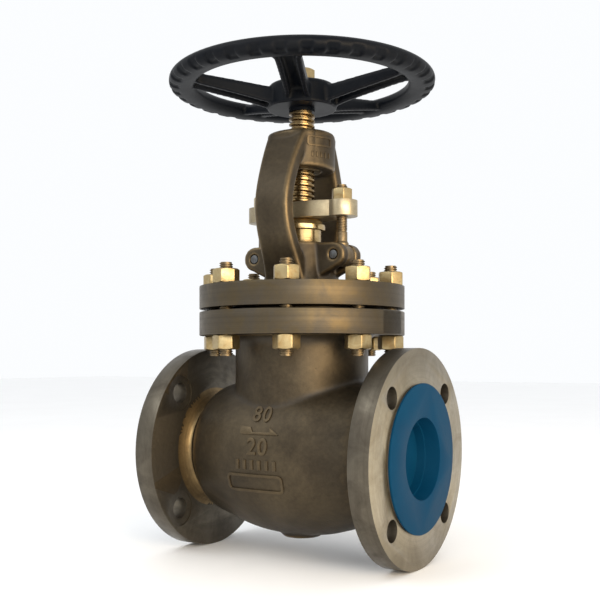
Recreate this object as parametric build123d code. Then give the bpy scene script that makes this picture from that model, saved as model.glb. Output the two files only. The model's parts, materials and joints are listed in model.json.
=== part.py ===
from build123d import *
import math
import os

# Flanged globe valve, outside screw and yoke, 3 inch class 150, aluminium bronze.
# Millimetres. Heights below are measured from the pipe axis; placed() lifts every
# piece by the flange radius, so the valve's origin is on the stem axis, level with
# the bottom of its two pipe flanges. +X is the flow direction, +Z is along the stem.

# pipe flanges; the inlet's bolt holes are 0.4 mm wider than the outlet's, so that each
# flange's holes stand as a pattern of their own and not as one hole through both flanges
FACE_TO_FACE = 241.3
FLANGE_R = 95.25
FLANGE_T = 19.0
RAISED_FACE_R = 63.5
RAISED_FACE_T = 1.6
PORT_R = 38.1
PIPE_BOLT_CIRCLE_R = 76.2
OUTLET_HOLE_R = 9.55
INLET_HOLE_R = 9.75
SPOT_FACE_R = 16.5
SPOT_FACE_DEPTH = 0.8

# body casting
GLOBE_R = 75.5
SHOULDER_X = 86.0
SHOULDER_R = 53.0
NECK_R = 46.5
TOWER_R = 61.5
WALL = 8.0
TOWER_BORE_R = 52.0
DRAIN_BOSS_R = 18.0
DRAIN_BOSS_Z = -78.0
BRIDGE_HALF_T = 6.0
DECK_R = 50.0
DECK_HALF_T = 8.0

# seat and disc
SEAT_BORE_R = 36.0
SEAT_THREAD_R = 42.0
SEAT_TOP_Z = 11.0
SEAT_GAP = 0.12
DISC_R = 42.5
DISC_TOP_Z = 23.0
DISC_HUB_R = 24.0
DISC_HUB_TOP_Z = 44.0
BUTTON_R = 16.5
POCKET_R = 18.0
LIFT = 22.5

# bonnet joint
JOINT_R = 94.7
BODY_FLANGE_Z = (107.0, 128.5)
BONNET_FLANGE_Z = (131.5, 152.0)
TONGUE_R = 62.0
TONGUE_Z = 125.5
GASKET_T = 2.0
STUD_COUNT = 8
STUD_CIRCLE_R = 82.0
STUD_R = 6.0
STUD_HOLE_R = 7.0
STUD_OVERHANG = 5.6
NUT_AF = 20.8
NUT_H = 13.0
UPPER_NUT_TURNS = (39, 31, 48, 8, 17, 36, 15, 17)
LOWER_NUT_TURNS = (53, 10, 44, 2, 55, 25, 34, 36)

# stem
STEM_R = 12.0
RUN_FIT = 0.06
BACKSEAT_R = 16.5
SQUARE_AF = 18.0
TOP_THREAD_R = 7.0

# stuffing box and gland
BOX_R = 18.0
BOX_FLOOR_Z = 154.5
BOX_TOP_Z = 191.4
PACKING_COUNT = 5
PACKING_TOP_Z = 184.5
GLAND_LIP_R = 21.8
GLAND_LIP_Z = (204.0, 209.6)
GLAND_FLANGE_Z = (214.4, 228.6)
EYEBOLT_X = 42.5
EYEBOLT_R = 5.0
EYEBOLT_TOP_Z = 243.2
EYE_R = 10.0
EYE_W = 12.0
PIN_Z = 179.0
PIN_R = 4.0
EAR_R = 11.2
EAR_HALF_W = 17.0
EAR_SLOT_HALF_W = 6.2
GLAND_NUT_AF = 17.0
GLAND_NUT_H = 11.0

# yoke
YOKE_HUB_R = 30.8
YOKE_HUB_Z = (259.0, 293.5)
ARM_W = 34.8
ARM_T = 13.4
ARM_POINTS = [(21.5, 287.0), (32.0, 270.0), (41.8, 248.0), (47.3, 226.0), (43.8, 201.0),
              (32.4, 176.0), (25.0, 154.0)]
BUSHING_R = 17.0
BUSHING_CAP_R = 14.2

# handwheel
WHEEL_RIM_R = 110.4
WHEEL_RIM_HALF_W = 12.3
WHEEL_RIM_HALF_H = 7.2
WHEEL_RIM_Z = 340.2
WHEEL_HUB_R = 32.3
WHEEL_HUB_Z = (317.2, 335.4)
SPOKE_COUNT = 5
SPOKE_START_DEG = -65.4
SPOKE_W = 22.0
SPOKE_CHANNEL_W = 13.0
SPOKE_WEB = 4.5
TOP_NUT_AF = 21.6
TOP_NUT_Z = (335.4, 354.0)

# pipe end caps
CAP_LIP_R = 65.0
CAP_LIP_T = 2.0
CAP_PLUG_R = 37.9
CAP_DEPTH = 20.0
CAP_WALL = 2.6
CAP_FLOOR = 2.4
CAP_STEP_DEPTH = 12.0

END_X = FACE_TO_FACE / 2
RIM_X = END_X - RAISED_FACE_T
BACK_X = RIM_X - FLANGE_T


def rod(radius, z0, z1, x=0.0, y=0.0):
    """Upright cylinder from z0 to z1."""
    return Pos(x, y, z0) * Cylinder(radius, z1 - z0, align=(Align.CENTER, Align.CENTER, Align.MIN))


def ring(outer, inner, z0, z1):
    return rod(outer, z0, z1) - rod(inner, z0, z1)


def bar_x(radius, x0, x1, y=0.0, z=0.0):
    """Cylinder along X from x0 to x1."""
    return Pos(x0, y, z) * Rot(0, 90, 0) * rod(radius, 0, x1 - x0)


def bar_y(radius, y0, y1, x=0.0, z=0.0):
    """Cylinder along Y from y0 to y1."""
    return Pos(x, y0, z) * Rot(-90, 0, 0) * rod(radius, 0, y1 - y0)


def turned(points):
    """Solid turned about Z from (radius, height) points."""
    outline = make_face(Polyline([(r, 0, z) for r, z in points], close=True))
    return revolve(outline, Axis.Z)


def xz_plate(points, half_width):
    """Plate with an outline in XZ, reaching half_width to both sides of y = 0."""
    outline = make_face(Polyline([(x, 0, z) for x, z in points], close=True))
    return extrude(outline, amount=half_width, dir=(0, 1, 0), both=True)


def hexagon(across_flats, height, bore_r, top=True, bottom=True):
    """Hexagonal nut standing on z = 0, with its corners chamfered by turning."""
    corner_r = across_flats / math.sqrt(3)
    blank = extrude(RegularPolygon(corner_r, 6), amount=height)
    drop = (corner_r - across_flats / 2) * 0.75
    flat_r = across_flats / 2 * 0.97
    turned_edge = [(0, 0), (flat_r, 0) if bottom else (corner_r, 0)]
    if bottom:
        turned_edge.append((corner_r, drop))
    turned_edge += [(corner_r, height - drop), (flat_r, height)] if top else [(corner_r, height)]
    turned_edge.append((0, height))
    nut = blank & turned(turned_edge)
    if bore_r:
        nut -= Cylinder(bore_r, 3 * height)
    return nut


def joint_places(start_z, turns=(0,) * STUD_COUNT):
    """Places of the studs round the bonnet joint, half a pitch off the pipe axis."""
    pitch = 360 / STUD_COUNT
    return [Rot(0, 0, pitch * (k + 0.5)) * Pos(STUD_CIRCLE_R, 0, start_z) * Rot(0, 0, turns[k])
            for k in range(STUD_COUNT)]


def pipe_hole_places():
    reach = PIPE_BOLT_CIRCLE_R * math.sin(math.radians(45))
    return [(sy * reach, sz * reach) for sy in (-1, 1) for sz in (-1, 1)]


# ---------------------------------------------------------------- body and its trim

def half_shell():
    """Outer skin of globe, neck and flange on the outlet side, turned about X: the
    broad globe rounds a shoulder into a short neck close behind the flange."""
    into_neck = (0.6, -1, 0)
    globe = Spline((0, GLOBE_R, 0), (40, GLOBE_R - 4.0, 0), (65, GLOBE_R - 11.4, 0),
                   (SHOULDER_X, SHOULDER_R, 0), tangents=[(1, 0, 0), into_neck])
    neck = Spline((SHOULDER_X, SHOULDER_R, 0), (SHOULDER_X + 5.0, NECK_R, 0),
                  (BACK_X, NECK_R + 11.0, 0), tangents=[into_neck, (0.25, 1, 0)])
    rest = Polyline((BACK_X, NECK_R + 11.0, 0), (BACK_X, FLANGE_R, 0), (RIM_X, FLANGE_R, 0),
                    (RIM_X, RAISED_FACE_R, 0), (END_X, RAISED_FACE_R, 0), (END_X, 0, 0), (0, 0, 0),
                    (0, GLOBE_R, 0))
    return revolve(make_face(Curve() + [globe, neck, rest]), Axis.X)


def flow_passage():
    """Hollow of the globe with both ports, turned about X."""
    meet_x = 70.0
    top = ThreePointArc((-meet_x, PORT_R, 0), (0, GLOBE_R - WALL, 0), (meet_x, PORT_R, 0))
    rest = Polyline((meet_x, PORT_R, 0), (END_X + 1, PORT_R, 0), (END_X + 1, 0, 0), (-END_X - 1, 0, 0),
                    (-END_X - 1, PORT_R, 0), (-meet_x, PORT_R, 0))
    return revolve(make_face(Curve() + [top, rest]), Axis.X)


def bridge():
    """Wall between inlet and outlet: it dives from above the inlet port, carries the
    seat across the middle and falls away below the outlet port."""
    t = BRIDGE_HALF_T
    outline = [(-88, 58), (-53, -t), (45, -t), (77, -64), (88, -58), (53, t), (-45, t), (-77, 64)]
    return xz_plate(outline, GLOBE_R) + rod(DECK_R, -DECK_HALF_T, DECK_HALF_T)


def valve_body():
    low, high = BODY_FLANGE_Z
    shell = half_shell()
    shell += mirror(shell, Plane.YZ)
    shell += rod(TOWER_R, 0, high)
    shell += turned([(0, low - 7), (TOWER_R, low - 7), (TOWER_R + 2, low - 2.2),
                     (TOWER_R + 7, low), (0, low)])
    shell += rod(JOINT_R, low, high)
    shell += rod(DRAIN_BOSS_R, DRAIN_BOSS_Z, -GLOBE_R + 12)
    hollow = flow_passage() + rod(TOWER_BORE_R, 30, high + 1)
    body = shell - (hollow - bridge())
    body -= rod(SEAT_BORE_R + 1.5, -DECK_HALF_T - 1, DECK_HALF_T + 1)
    body -= rod(SEAT_THREAD_R, -3, DECK_HALF_T + 1)
    body -= rod(TONGUE_R + 0.2, TONGUE_Z - GASKET_T, high + 1)
    for place in joint_places(low - 1):
        body -= place * rod(STUD_HOLE_R, 0, high - low + 2)
    for y, z in pipe_hole_places():
        body -= bar_x(OUTLET_HOLE_R, BACK_X, END_X, y, z) + bar_x(INLET_HOLE_R, -END_X, -BACK_X, y, z)
        spot = bar_x(SPOT_FACE_R, BACK_X - 4, BACK_X + SPOT_FACE_DEPTH, y, z)
        body -= spot + mirror(spot, Plane.YZ)
    return body


def seat_ring():
    outline = [(SEAT_BORE_R, -3), (SEAT_THREAD_R, -3), (SEAT_THREAD_R, DECK_HALF_T),
               (SEAT_THREAD_R + 4, DECK_HALF_T), (SEAT_THREAD_R + 4, SEAT_TOP_Z),
               (SEAT_BORE_R + 3, SEAT_TOP_Z), (SEAT_BORE_R, SEAT_TOP_Z - 3)]
    return turned(outline)


def disc():
    """Plug disc: its 45 degree face stands just off the seat when the valve is shut."""
    cone_r = SEAT_BORE_R - SEAT_GAP * math.sqrt(2)
    outline = [(0, SEAT_TOP_Z - 7), (cone_r - 3, SEAT_TOP_Z - 7), (cone_r - 1, SEAT_TOP_Z - 4),
               (cone_r, SEAT_TOP_Z - 3), (cone_r + 3.4, SEAT_TOP_Z + 0.4),
               (DISC_R, SEAT_TOP_Z + 2.5), (DISC_R, DISC_TOP_Z - 2),
               (DISC_R - 2, DISC_TOP_Z), (DISC_HUB_R + 3, DISC_TOP_Z), (DISC_HUB_R, DISC_TOP_Z + 3),
               (DISC_HUB_R, DISC_HUB_TOP_Z), (0, DISC_HUB_TOP_Z)]
    return turned(outline) - rod(POCKET_R, DISC_TOP_Z, DISC_HUB_TOP_Z + 1)


def disc_nut():
    """Nut that holds the stem's button in the disc and lets it turn."""
    head = Pos(0, 0, DISC_HUB_TOP_Z) * hexagon(40, 9, 0)
    return head + rod(POCKET_R, 31, DISC_HUB_TOP_Z) - rod(STEM_R + 0.3, 0, DISC_HUB_TOP_Z + 10)


def disc_lock_pin():
    """Dowel through the rim of the disc's hub into its nut."""
    return bar_x(1.5, BUTTON_R - 1, DISC_HUB_R, 0, 38.0)


# ---------------------------------------------------------------- stem and wheel

def stem():
    backseat_z = TONGUE_Z - 4.5 - LIFT - 0.5
    low = DISC_TOP_Z + 0.3
    shaft = turned([(0, low), (BUTTON_R - 3, low), (BUTTON_R, low + 1.5), (BUTTON_R, 30.7), (10.5, 30.7),
                    (10.5, 58), (STEM_R, 60), (STEM_R, 84), (BACKSEAT_R, 86),
                    (BACKSEAT_R, backseat_z - 4.5), (STEM_R, backseat_z),
                    (STEM_R, WHEEL_HUB_Z[0]), (0, WHEEL_HUB_Z[0])])
    square = Pos(0, 0, WHEEL_HUB_Z[0]) * Box(SQUARE_AF, SQUARE_AF, 34.0)
    square &= rod(STEM_R, WHEEL_HUB_Z[0], WHEEL_HUB_Z[0] + 17.0)
    return shaft + square + rod(TOP_THREAD_R, WHEEL_HUB_Z[0] + 16, TOP_NUT_Z[1] - 3)


def spoke():
    """One spoke along +X: a channel, open underneath, that climbs from hub to rim."""
    inner_x = WHEEL_HUB_R - 6
    outer_x = WHEEL_RIM_R - 4
    low, high = WHEEL_HUB_Z
    side = [(inner_x, low + 0.5), (inner_x, high - 1.0),
            (outer_x, WHEEL_RIM_Z + 5.5), (outer_x, WHEEL_RIM_Z - 5.0)]
    groove = [(WHEEL_HUB_R + 1, low - 8), (WHEEL_HUB_R + 1, high - 1.0 - SPOKE_WEB),
              (WHEEL_RIM_R - WHEEL_RIM_HALF_W - 2, WHEEL_RIM_Z + 5.5 - SPOKE_WEB),
              (WHEEL_RIM_R - WHEEL_RIM_HALF_W - 2, WHEEL_RIM_Z - 12)]
    return xz_plate(side, SPOKE_W / 2) - xz_plate(groove, SPOKE_CHANNEL_W / 2)


def handwheel():
    rim = Plane.XZ * Pos(WHEEL_RIM_R, WHEEL_RIM_Z) * Ellipse(WHEEL_RIM_HALF_W, WHEEL_RIM_HALF_H)
    wheel = revolve(rim, Axis.Z)
    low, high = WHEEL_HUB_Z
    hub = turned([(0, low), (WHEEL_HUB_R, low), (WHEEL_HUB_R - 1.2, high - 2),
                  (WHEEL_HUB_R - 3.5, high), (0, high)])
    for k in range(SPOKE_COUNT):
        wheel += Rot(0, 0, SPOKE_START_DEG + 360 / SPOKE_COUNT * k) * spoke()
    wheel += hub
    square = Box(SQUARE_AF, SQUARE_AF, 60) & Cylinder(STEM_R, 60)
    return wheel - Pos(0, 0, low) * square


def handwheel_nut():
    low, high = TOP_NUT_Z
    return Pos(0, 0, low) * Rot(0, 0, 14) * hexagon(TOP_NUT_AF, high - low, TOP_THREAD_R, bottom=False)


# ---------------------------------------------------------------- bonnet with its yoke

def arm_side(offset):
    """One side of the yoke arm's outline, offset from its centre line, as a smooth curve."""
    points = []
    for k, (y, z) in enumerate(ARM_POINTS):
        y0, z0 = ARM_POINTS[max(k - 1, 0)]
        y1, z1 = ARM_POINTS[min(k + 1, len(ARM_POINTS) - 1)]
        run = math.hypot(y1 - y0, z1 - z0)
        points.append((0, y - offset * (z1 - z0) / run, z + offset * (y1 - y0) / run))
    return points


def yoke_arm():
    """Bowed strap from the bonnet's neck up to the yoke hub, on the +Y side."""
    outer = arm_side(ARM_T / 2)
    inner = arm_side(-ARM_T / 2)
    ends = [Line(outer[-1], inner[-1]), Line(inner[0], outer[0])]
    outline = Curve() + [Spline(*outer), Spline(*inner)] + ends
    strap = extrude(make_face(outline), amount=ARM_W / 2, dir=(1, 0, 0), both=True)
    long_edges = [e for e in strap.edges() if e.geom_type == GeomType.BSPLINE]
    return fillet(long_edges, 3.5)


def ear(side):
    """Slotted ear that holds an eyebolt's pin, on the +X side when side is 1."""
    reach = EYEBOLT_X * side
    root = 22.0 * side
    drop = EAR_R * 0.82
    web = [(root, PIN_Z + EAR_R), (reach, PIN_Z + EAR_R),
           (reach + 0.57 * EAR_R * side, PIN_Z - drop), (root, 157.0)]
    inboard = xz_plate([(root, 200), (reach, 200), (reach, 150), (root, 150)], EAR_HALF_W)
    block = xz_plate(web, EAR_HALF_W) & (bar_y(EAR_R, -30, 30, reach, PIN_Z) + inboard)
    block += bar_y(EAR_R, -EAR_HALF_W, EAR_HALF_W, reach, PIN_Z)
    slot_from = (EYEBOLT_X - EYE_R - 1.0) * side
    slot = Box(60, 2 * EAR_SLOT_HALF_W, 80)
    block -= Pos(slot_from + 30 * side, 0, PIN_Z) * slot
    return block - bar_y(PIN_R, -30, 30, reach, PIN_Z)


def bonnet():
    """Bonnet flange, stuffing box, two arms and the hub that holds the stem's nut."""
    low, high = BONNET_FLANGE_Z
    hub_low, hub_high = YOKE_HUB_Z
    casting = rod(JOINT_R, low, high) + rod(TONGUE_R, TONGUE_Z, low)
    casting += turned([(0, high), (39, high), (35.5, high + 2.2), (33.5, high + 6), (32, high + 14),
                       (30.2, BOX_TOP_Z), (0, BOX_TOP_Z)])
    arm = yoke_arm()
    casting += arm
    casting += mirror(arm, Plane.XZ)
    casting += turned([(0, hub_low), (YOKE_HUB_R - 1, hub_low), (YOKE_HUB_R, hub_low + 1.5),
                       (YOKE_HUB_R, hub_high - 3.5), (YOKE_HUB_R - 1.2, hub_high - 1.2),
                       (YOKE_HUB_R - 3.5, hub_high), (0, hub_high)])
    casting += ear(1) + ear(-1)
    casting -= turned([(0, TONGUE_Z - 1), (48, TONGUE_Z - 1), (44, low + 2), (24, low + 6), (0, low + 6)])
    casting += ring(24, BUSHING_R, TONGUE_Z - 1.5, low + 8)
    casting -= rod(BUSHING_R, TONGUE_Z - 5, 143)
    casting -= rod(STEM_R + 0.8, 142, BOX_TOP_Z)
    casting -= rod(BOX_R + RUN_FIT, BOX_FLOOR_Z, BOX_TOP_Z + 6)
    casting -= rod(BUSHING_R, hub_low - 1, hub_high + 1)
    casting -= bar_y(2.5, BUSHING_R - 4, YOKE_HUB_R + 1, 0, 276)
    for place in joint_places(low - 1):
        casting -= place * rod(STUD_HOLE_R, 0, high - low + 2)
    return casting


def backseat_bushing():
    """Bushing below the stuffing box; the stem's shoulder closes on its coned lower face."""
    low = TONGUE_Z - 4.5
    return turned([(STEM_R + RUN_FIT, low + 4), (BUTTON_R, low), (22, low), (22, TONGUE_Z - 1.5),
                   (BUSHING_R, TONGUE_Z - 1.5), (BUSHING_R, 143), (STEM_R + RUN_FIT, 143)])


def bonnet_gasket():
    return ring(TONGUE_R, TOWER_BORE_R + 0.5, TONGUE_Z - GASKET_T, TONGUE_Z)


def bonnet_studs():
    low = BODY_FLANGE_Z[0] - NUT_H - STUD_OVERHANG
    high = BONNET_FLANGE_Z[1] + NUT_H + STUD_OVERHANG
    length = high - low
    stud = turned([(0, 0), (STUD_R - 1, 0), (STUD_R, 1), (STUD_R, length - 1),
                   (STUD_R - 1, length), (0, length)])
    return Compound(children=[place * stud for place in joint_places(low)])


def bonnet_nuts(z, turns):
    nut = hexagon(NUT_AF, NUT_H, STUD_R)
    return Compound(children=[place * nut for place in joint_places(z, turns)])


# ---------------------------------------------------------------- packing and gland

def packing_rings():
    step = (PACKING_TOP_Z - BOX_FLOOR_Z) / PACKING_COUNT
    floors = [BOX_FLOOR_Z + step * k for k in range(PACKING_COUNT)]
    return Compound(children=[ring(BOX_R, STEM_R + RUN_FIT, z + 0.05, z + step - 0.05) for z in floors])


def gland():
    lip_low, lip_high = GLAND_LIP_Z
    inner = STEM_R + RUN_FIT
    return turned([(inner, PACKING_TOP_Z + 0.1), (BOX_R, PACKING_TOP_Z + 0.1), (BOX_R, lip_low),
                   (GLAND_LIP_R - 0.6, lip_low), (GLAND_LIP_R, lip_low + 0.6),
                   (GLAND_LIP_R, lip_high - 0.6), (GLAND_LIP_R - 0.6, lip_high), (20.0, lip_high),
                   (18.6, 212.6), (16.4, GLAND_FLANGE_Z[0]), (15.4, 215.6), (inner, 215.6)])


def gland_flange():
    """Diamond plate with a rounded end round each eyebolt, dished underneath for the gland."""
    low, high = GLAND_FLANGE_Z
    end_r = 14.2
    middle = [(-17, -20), (17, -20), (36.5, -12.9), (36.5, 12.9), (17, 20), (-17, 20),
              (-36.5, 12.9), (-36.5, -12.9)]
    plate = Pos(0, 0, low) * extrude(make_face(Polyline(middle, close=True)), amount=high - low)
    for side in (-1, 1):
        plate += rod(end_r, low, high, EYEBOLT_X * side)
        plate -= rod(EYEBOLT_R + 0.6, low - 1, high + 1, EYEBOLT_X * side)
    plate -= rod(STEM_R + 1.2, low - 1, high + 1)
    plate -= turned([(0, low - 1), (16.4, low - 1), (16.4, low), (15.4, 215.6), (0, 215.6)])
    return plate


def eyebolt(side):
    x = EYEBOLT_X * side
    eye = bar_y(EYE_R, -EYE_W / 2, EYE_W / 2, x, PIN_Z)
    length = EYEBOLT_TOP_Z - PIN_Z
    shank = turned([(0, 0), (EYEBOLT_R + 1.2, 0), (EYEBOLT_R + 1.2, EYE_R + 1), (EYEBOLT_R, EYE_R + 3),
                    (EYEBOLT_R, length - 1), (EYEBOLT_R - 1, length), (0, length)])
    shank = Pos(x, 0, PIN_Z) * shank
    return eye + shank - bar_y(PIN_R, -30, 30, x, PIN_Z)


def eyebolt_pin(side):
    half = EAR_HALF_W - 0.4
    return bar_y(PIN_R, -half, half, EYEBOLT_X * side, PIN_Z)


def gland_nut(side):
    place = Pos(EYEBOLT_X * side, 0, GLAND_FLANGE_Z[1]) * Rot(0, 0, 8 if side > 0 else 22)
    return place * hexagon(GLAND_NUT_AF, GLAND_NUT_H, EYEBOLT_R + RUN_FIT)


def yoke_bushing():
    """Nut for the stem's thread, let into the yoke hub and proud of it at the top."""
    low, high = YOKE_HUB_Z
    collar = ring(BUSHING_CAP_R, STEM_R + RUN_FIT, high, high + 1.6)
    return ring(BUSHING_R, STEM_R + RUN_FIT, low, high) + collar


def yoke_bushing_screw():
    return bar_y(2.5, BUSHING_R, YOKE_HUB_R - 1, 0, 276)


# ---------------------------------------------------------------- pipe end caps

def end_cap():
    """Push-in plastic cap for the outlet: a broad lip with a stepped cup in the port."""
    floor_x = END_X - CAP_DEPTH
    step_x = END_X - CAP_STEP_DEPTH
    cap = bar_x(CAP_LIP_R, END_X, END_X + CAP_LIP_T) + bar_x(CAP_PLUG_R, floor_x - CAP_FLOOR, END_X)
    cap -= bar_x(CAP_PLUG_R - CAP_WALL, step_x, END_X + CAP_LIP_T + 1)
    return cap - bar_x(CAP_PLUG_R - CAP_WALL - 1.4, floor_x, step_x + 1)


def build():
    pieces = {
        "valve_body": valve_body(),
        "seat_ring": seat_ring(),
        "disc": disc() - disc_lock_pin(),
        "disc_nut": disc_nut() - disc_lock_pin(),
        "disc_lock_pin": disc_lock_pin(),
        "stem": stem(),
        "handwheel": handwheel(),
        "handwheel_nut": handwheel_nut(),
        "bonnet": bonnet(),
        "backseat_bushing": backseat_bushing(),
        "bonnet_gasket": bonnet_gasket(),
        "bonnet_studs": bonnet_studs(),
        "bonnet_nuts_upper": bonnet_nuts(BONNET_FLANGE_Z[1], UPPER_NUT_TURNS),
        "bonnet_nuts_lower": bonnet_nuts(BODY_FLANGE_Z[0] - NUT_H, LOWER_NUT_TURNS),
        "packing_rings": packing_rings(),
        "gland": gland(),
        "gland_flange": gland_flange(),
        "yoke_bushing": yoke_bushing(),
        "yoke_bushing_screw": yoke_bushing_screw(),
        "outlet_cap": end_cap(),
        "inlet_cap": mirror(end_cap(), Plane.YZ),
    }
    for side, name in ((1, "right"), (-1, "left")):
        pieces["eyebolt_" + name] = eyebolt(side)
        pieces["eyebolt_pin_" + name] = eyebolt_pin(side)
        pieces["gland_nut_" + name] = gland_nut(side)
    return pieces


def main():
    os.makedirs("parts", exist_ok=True)
    for name, shape in build().items():
        export_step(Pos(0, 0, FLANGE_R) * shape, "parts/" + name + ".step")


main()
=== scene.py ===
import json
import math

import bmesh
import bpy
import numpy as np
from bpy.props import FloatProperty, FloatVectorProperty, IntProperty, PointerProperty
from mathutils import Matrix, Vector
from mathutils.bvhtree import BVHTree

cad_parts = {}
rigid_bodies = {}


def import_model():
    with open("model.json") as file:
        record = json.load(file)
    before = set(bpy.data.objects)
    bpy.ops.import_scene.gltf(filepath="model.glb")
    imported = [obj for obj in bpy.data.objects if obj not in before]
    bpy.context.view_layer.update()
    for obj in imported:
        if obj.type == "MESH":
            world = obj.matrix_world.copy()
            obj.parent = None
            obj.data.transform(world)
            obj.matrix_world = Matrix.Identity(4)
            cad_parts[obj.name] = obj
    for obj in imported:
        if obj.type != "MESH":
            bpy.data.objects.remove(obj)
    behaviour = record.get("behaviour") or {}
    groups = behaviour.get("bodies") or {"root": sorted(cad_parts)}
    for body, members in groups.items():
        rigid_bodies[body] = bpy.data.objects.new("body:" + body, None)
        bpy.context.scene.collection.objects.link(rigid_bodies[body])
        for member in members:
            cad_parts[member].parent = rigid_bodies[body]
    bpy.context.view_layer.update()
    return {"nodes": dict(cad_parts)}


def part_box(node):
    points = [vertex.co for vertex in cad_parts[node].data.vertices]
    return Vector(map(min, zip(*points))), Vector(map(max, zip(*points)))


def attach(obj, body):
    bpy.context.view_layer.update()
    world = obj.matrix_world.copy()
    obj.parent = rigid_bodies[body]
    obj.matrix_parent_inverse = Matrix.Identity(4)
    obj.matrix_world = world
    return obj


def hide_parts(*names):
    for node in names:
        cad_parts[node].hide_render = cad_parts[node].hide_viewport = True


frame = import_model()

bl_info = {
    "name": "Globe Valve Looks",
    "version": (1, 0, 0),
    "blender": (4, 5, 0),
    "location": "View3D > Sidebar > Globe Valve",
    "description": "Castings, threads, fasteners, handwheel, caps and finishes of a flanged globe valve",
    "category": "Object",
}

MM = 0.001


BODY_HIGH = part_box("valve_body")[1]
BONNET_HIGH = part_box("bonnet")[1]
CAP_LOW, CAP_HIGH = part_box("outlet_cap")
WHEEL_LOW, WHEEL_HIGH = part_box("handwheel")
PLATE_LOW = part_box("gland_flange")[0]
NUTS_LOW, NUTS_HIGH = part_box("bonnet_nuts_upper")
LOW_NUTS_LOW, LOW_NUTS_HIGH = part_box("bonnet_nuts_lower")
STUDS_LOW, STUDS_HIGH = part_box("bonnet_studs")
PIPE_Z = (CAP_LOW.z + CAP_HIGH.z) / 2
END_X = BODY_HIGH.x
FLANGE_R = BODY_HIGH.y
JOINT_R = BONNET_HIGH.x
BONNET_TOP_Z = NUTS_LOW.z
BODY_JOINT_Z = LOW_NUTS_HIGH.z
STUD_R = 6.0 * MM
STUD_CIRCLE_R = 82.0 * MM
STUD_COUNT = 8
UPPER_NUT_TURNS = (39, 31, 48, 8, 17, 36, 15, 17)
LOWER_NUT_TURNS = (53, 10, 44, 2, 55, 25, 34, 36)
NECK_CUT_X = END_X - 27.65 * MM
BOLT_LOW, BOLT_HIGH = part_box("eyebolt_right")
PIN_LOW, PIN_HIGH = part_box("eyebolt_pin_right")
EYEBOLT_X = (BOLT_LOW.x + BOLT_HIGH.x) / 2
PIN_Z = (PIN_LOW.z + PIN_HIGH.z) / 2
STEM_R = 12.0 * MM
ARM_MIDDLE_Z = PIPE_Z + 224.0 * MM
JOINT_NUT_FLATS = 20.8 * MM
RIM_HALF_WIDTH = 12.3 * MM
RIM_HALF_HEIGHT = 7.2 * MM
SPOKE_COUNT = 5
FIRST_SPOKE_TURN = math.radians(-65.4)
NECK_SKIN_R = 46.4 * MM
PORT_SKIN_R = 40.5 * MM
FILLET_R = 56.0 * MM
BOLT_THREAD_R = 4.98 * MM


# ---------------------------------------------------------------- mesh helpers

def add_object(name, mesh):
    obj = bpy.data.objects.new(name, mesh)
    bpy.context.scene.collection.objects.link(obj)
    return obj


def object_from_bmesh(name, bm):
    mesh = bpy.data.meshes.new(name)
    bm.to_mesh(mesh)
    bm.free()
    return add_object(name, mesh)


def welded_bmesh(node):
    """The CAD node's surface with its loose triangles joined and its flat faces whole."""
    bm = bmesh.new()
    bm.from_mesh(frame["nodes"][node].data)
    bmesh.ops.remove_doubles(bm, verts=bm.verts, dist=2e-6)
    bmesh.ops.dissolve_limit(bm, angle_limit=math.radians(0.3), verts=bm.verts, edges=bm.edges)
    return bm


def cut_away(bm, point, normal):
    """Removes what lies on the side that normal points to, and closes the cut."""
    everything = list(bm.verts) + list(bm.edges) + list(bm.faces)
    bmesh.ops.bisect_plane(bm, geom=everything, plane_co=point, plane_no=normal,
                           clear_outer=True, dist=1e-7)
    rim = [e for e in bm.edges if e.is_boundary]
    if rim:
        bmesh.ops.triangle_fill(bm, edges=rim, use_beauty=True, use_dissolve=False)
    bmesh.ops.recalc_face_normals(bm, faces=bm.faces)


def settle(obj):
    """Makes the object's modifiers part of its mesh."""
    graph = bpy.context.evaluated_depsgraph_get()
    mesh = bpy.data.meshes.new_from_object(obj.evaluated_get(graph))
    obj.modifiers.clear()
    old = obj.data
    obj.data = mesh
    bpy.data.meshes.remove(old)
    return obj


def remeshed(obj, voxel, passes):
    """Runs the surface through a fine voxel grid, so sharp joints become cast fillets."""
    grid = obj.modifiers.new("grid", "REMESH")
    grid.mode = "VOXEL"
    grid.voxel_size = voxel
    ease = obj.modifiers.new("ease", "SMOOTH")
    ease.factor = 0.5
    ease.iterations = passes
    settle(obj)
    obj.data.shade_smooth()
    return obj


def bevelled(obj, width, segments=2, angle=28.0):
    """Breaks the sharp edges and shades the rest smooth."""
    edge = obj.modifiers.new("edge", "BEVEL")
    edge.width = width
    edge.segments = segments
    edge.limit_method = "ANGLE"
    edge.angle_limit = math.radians(angle)
    edge.miter_outer = "MITER_ARC"
    edge.use_clamp_overlap = True
    settle(obj)
    return shaded(obj, 32.0)


def shaded(obj, angle):
    if "custom_normal" in obj.data.attributes:
        obj.data.attributes.remove(obj.data.attributes["custom_normal"])
    obj.data.shade_smooth()
    obj.data.set_sharp_from_angle(angle=math.radians(angle))
    return obj


def joined(name, objects):
    """One object from several, keeping each one's materials."""
    for obj in bpy.context.view_layer.objects:
        obj.select_set(False)
    for obj in objects:
        obj.select_set(True)
    bpy.context.view_layer.objects.active = objects[0]
    bpy.ops.object.join()
    objects[0].name = name
    objects[0].data.name = name
    return objects[0]


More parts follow.
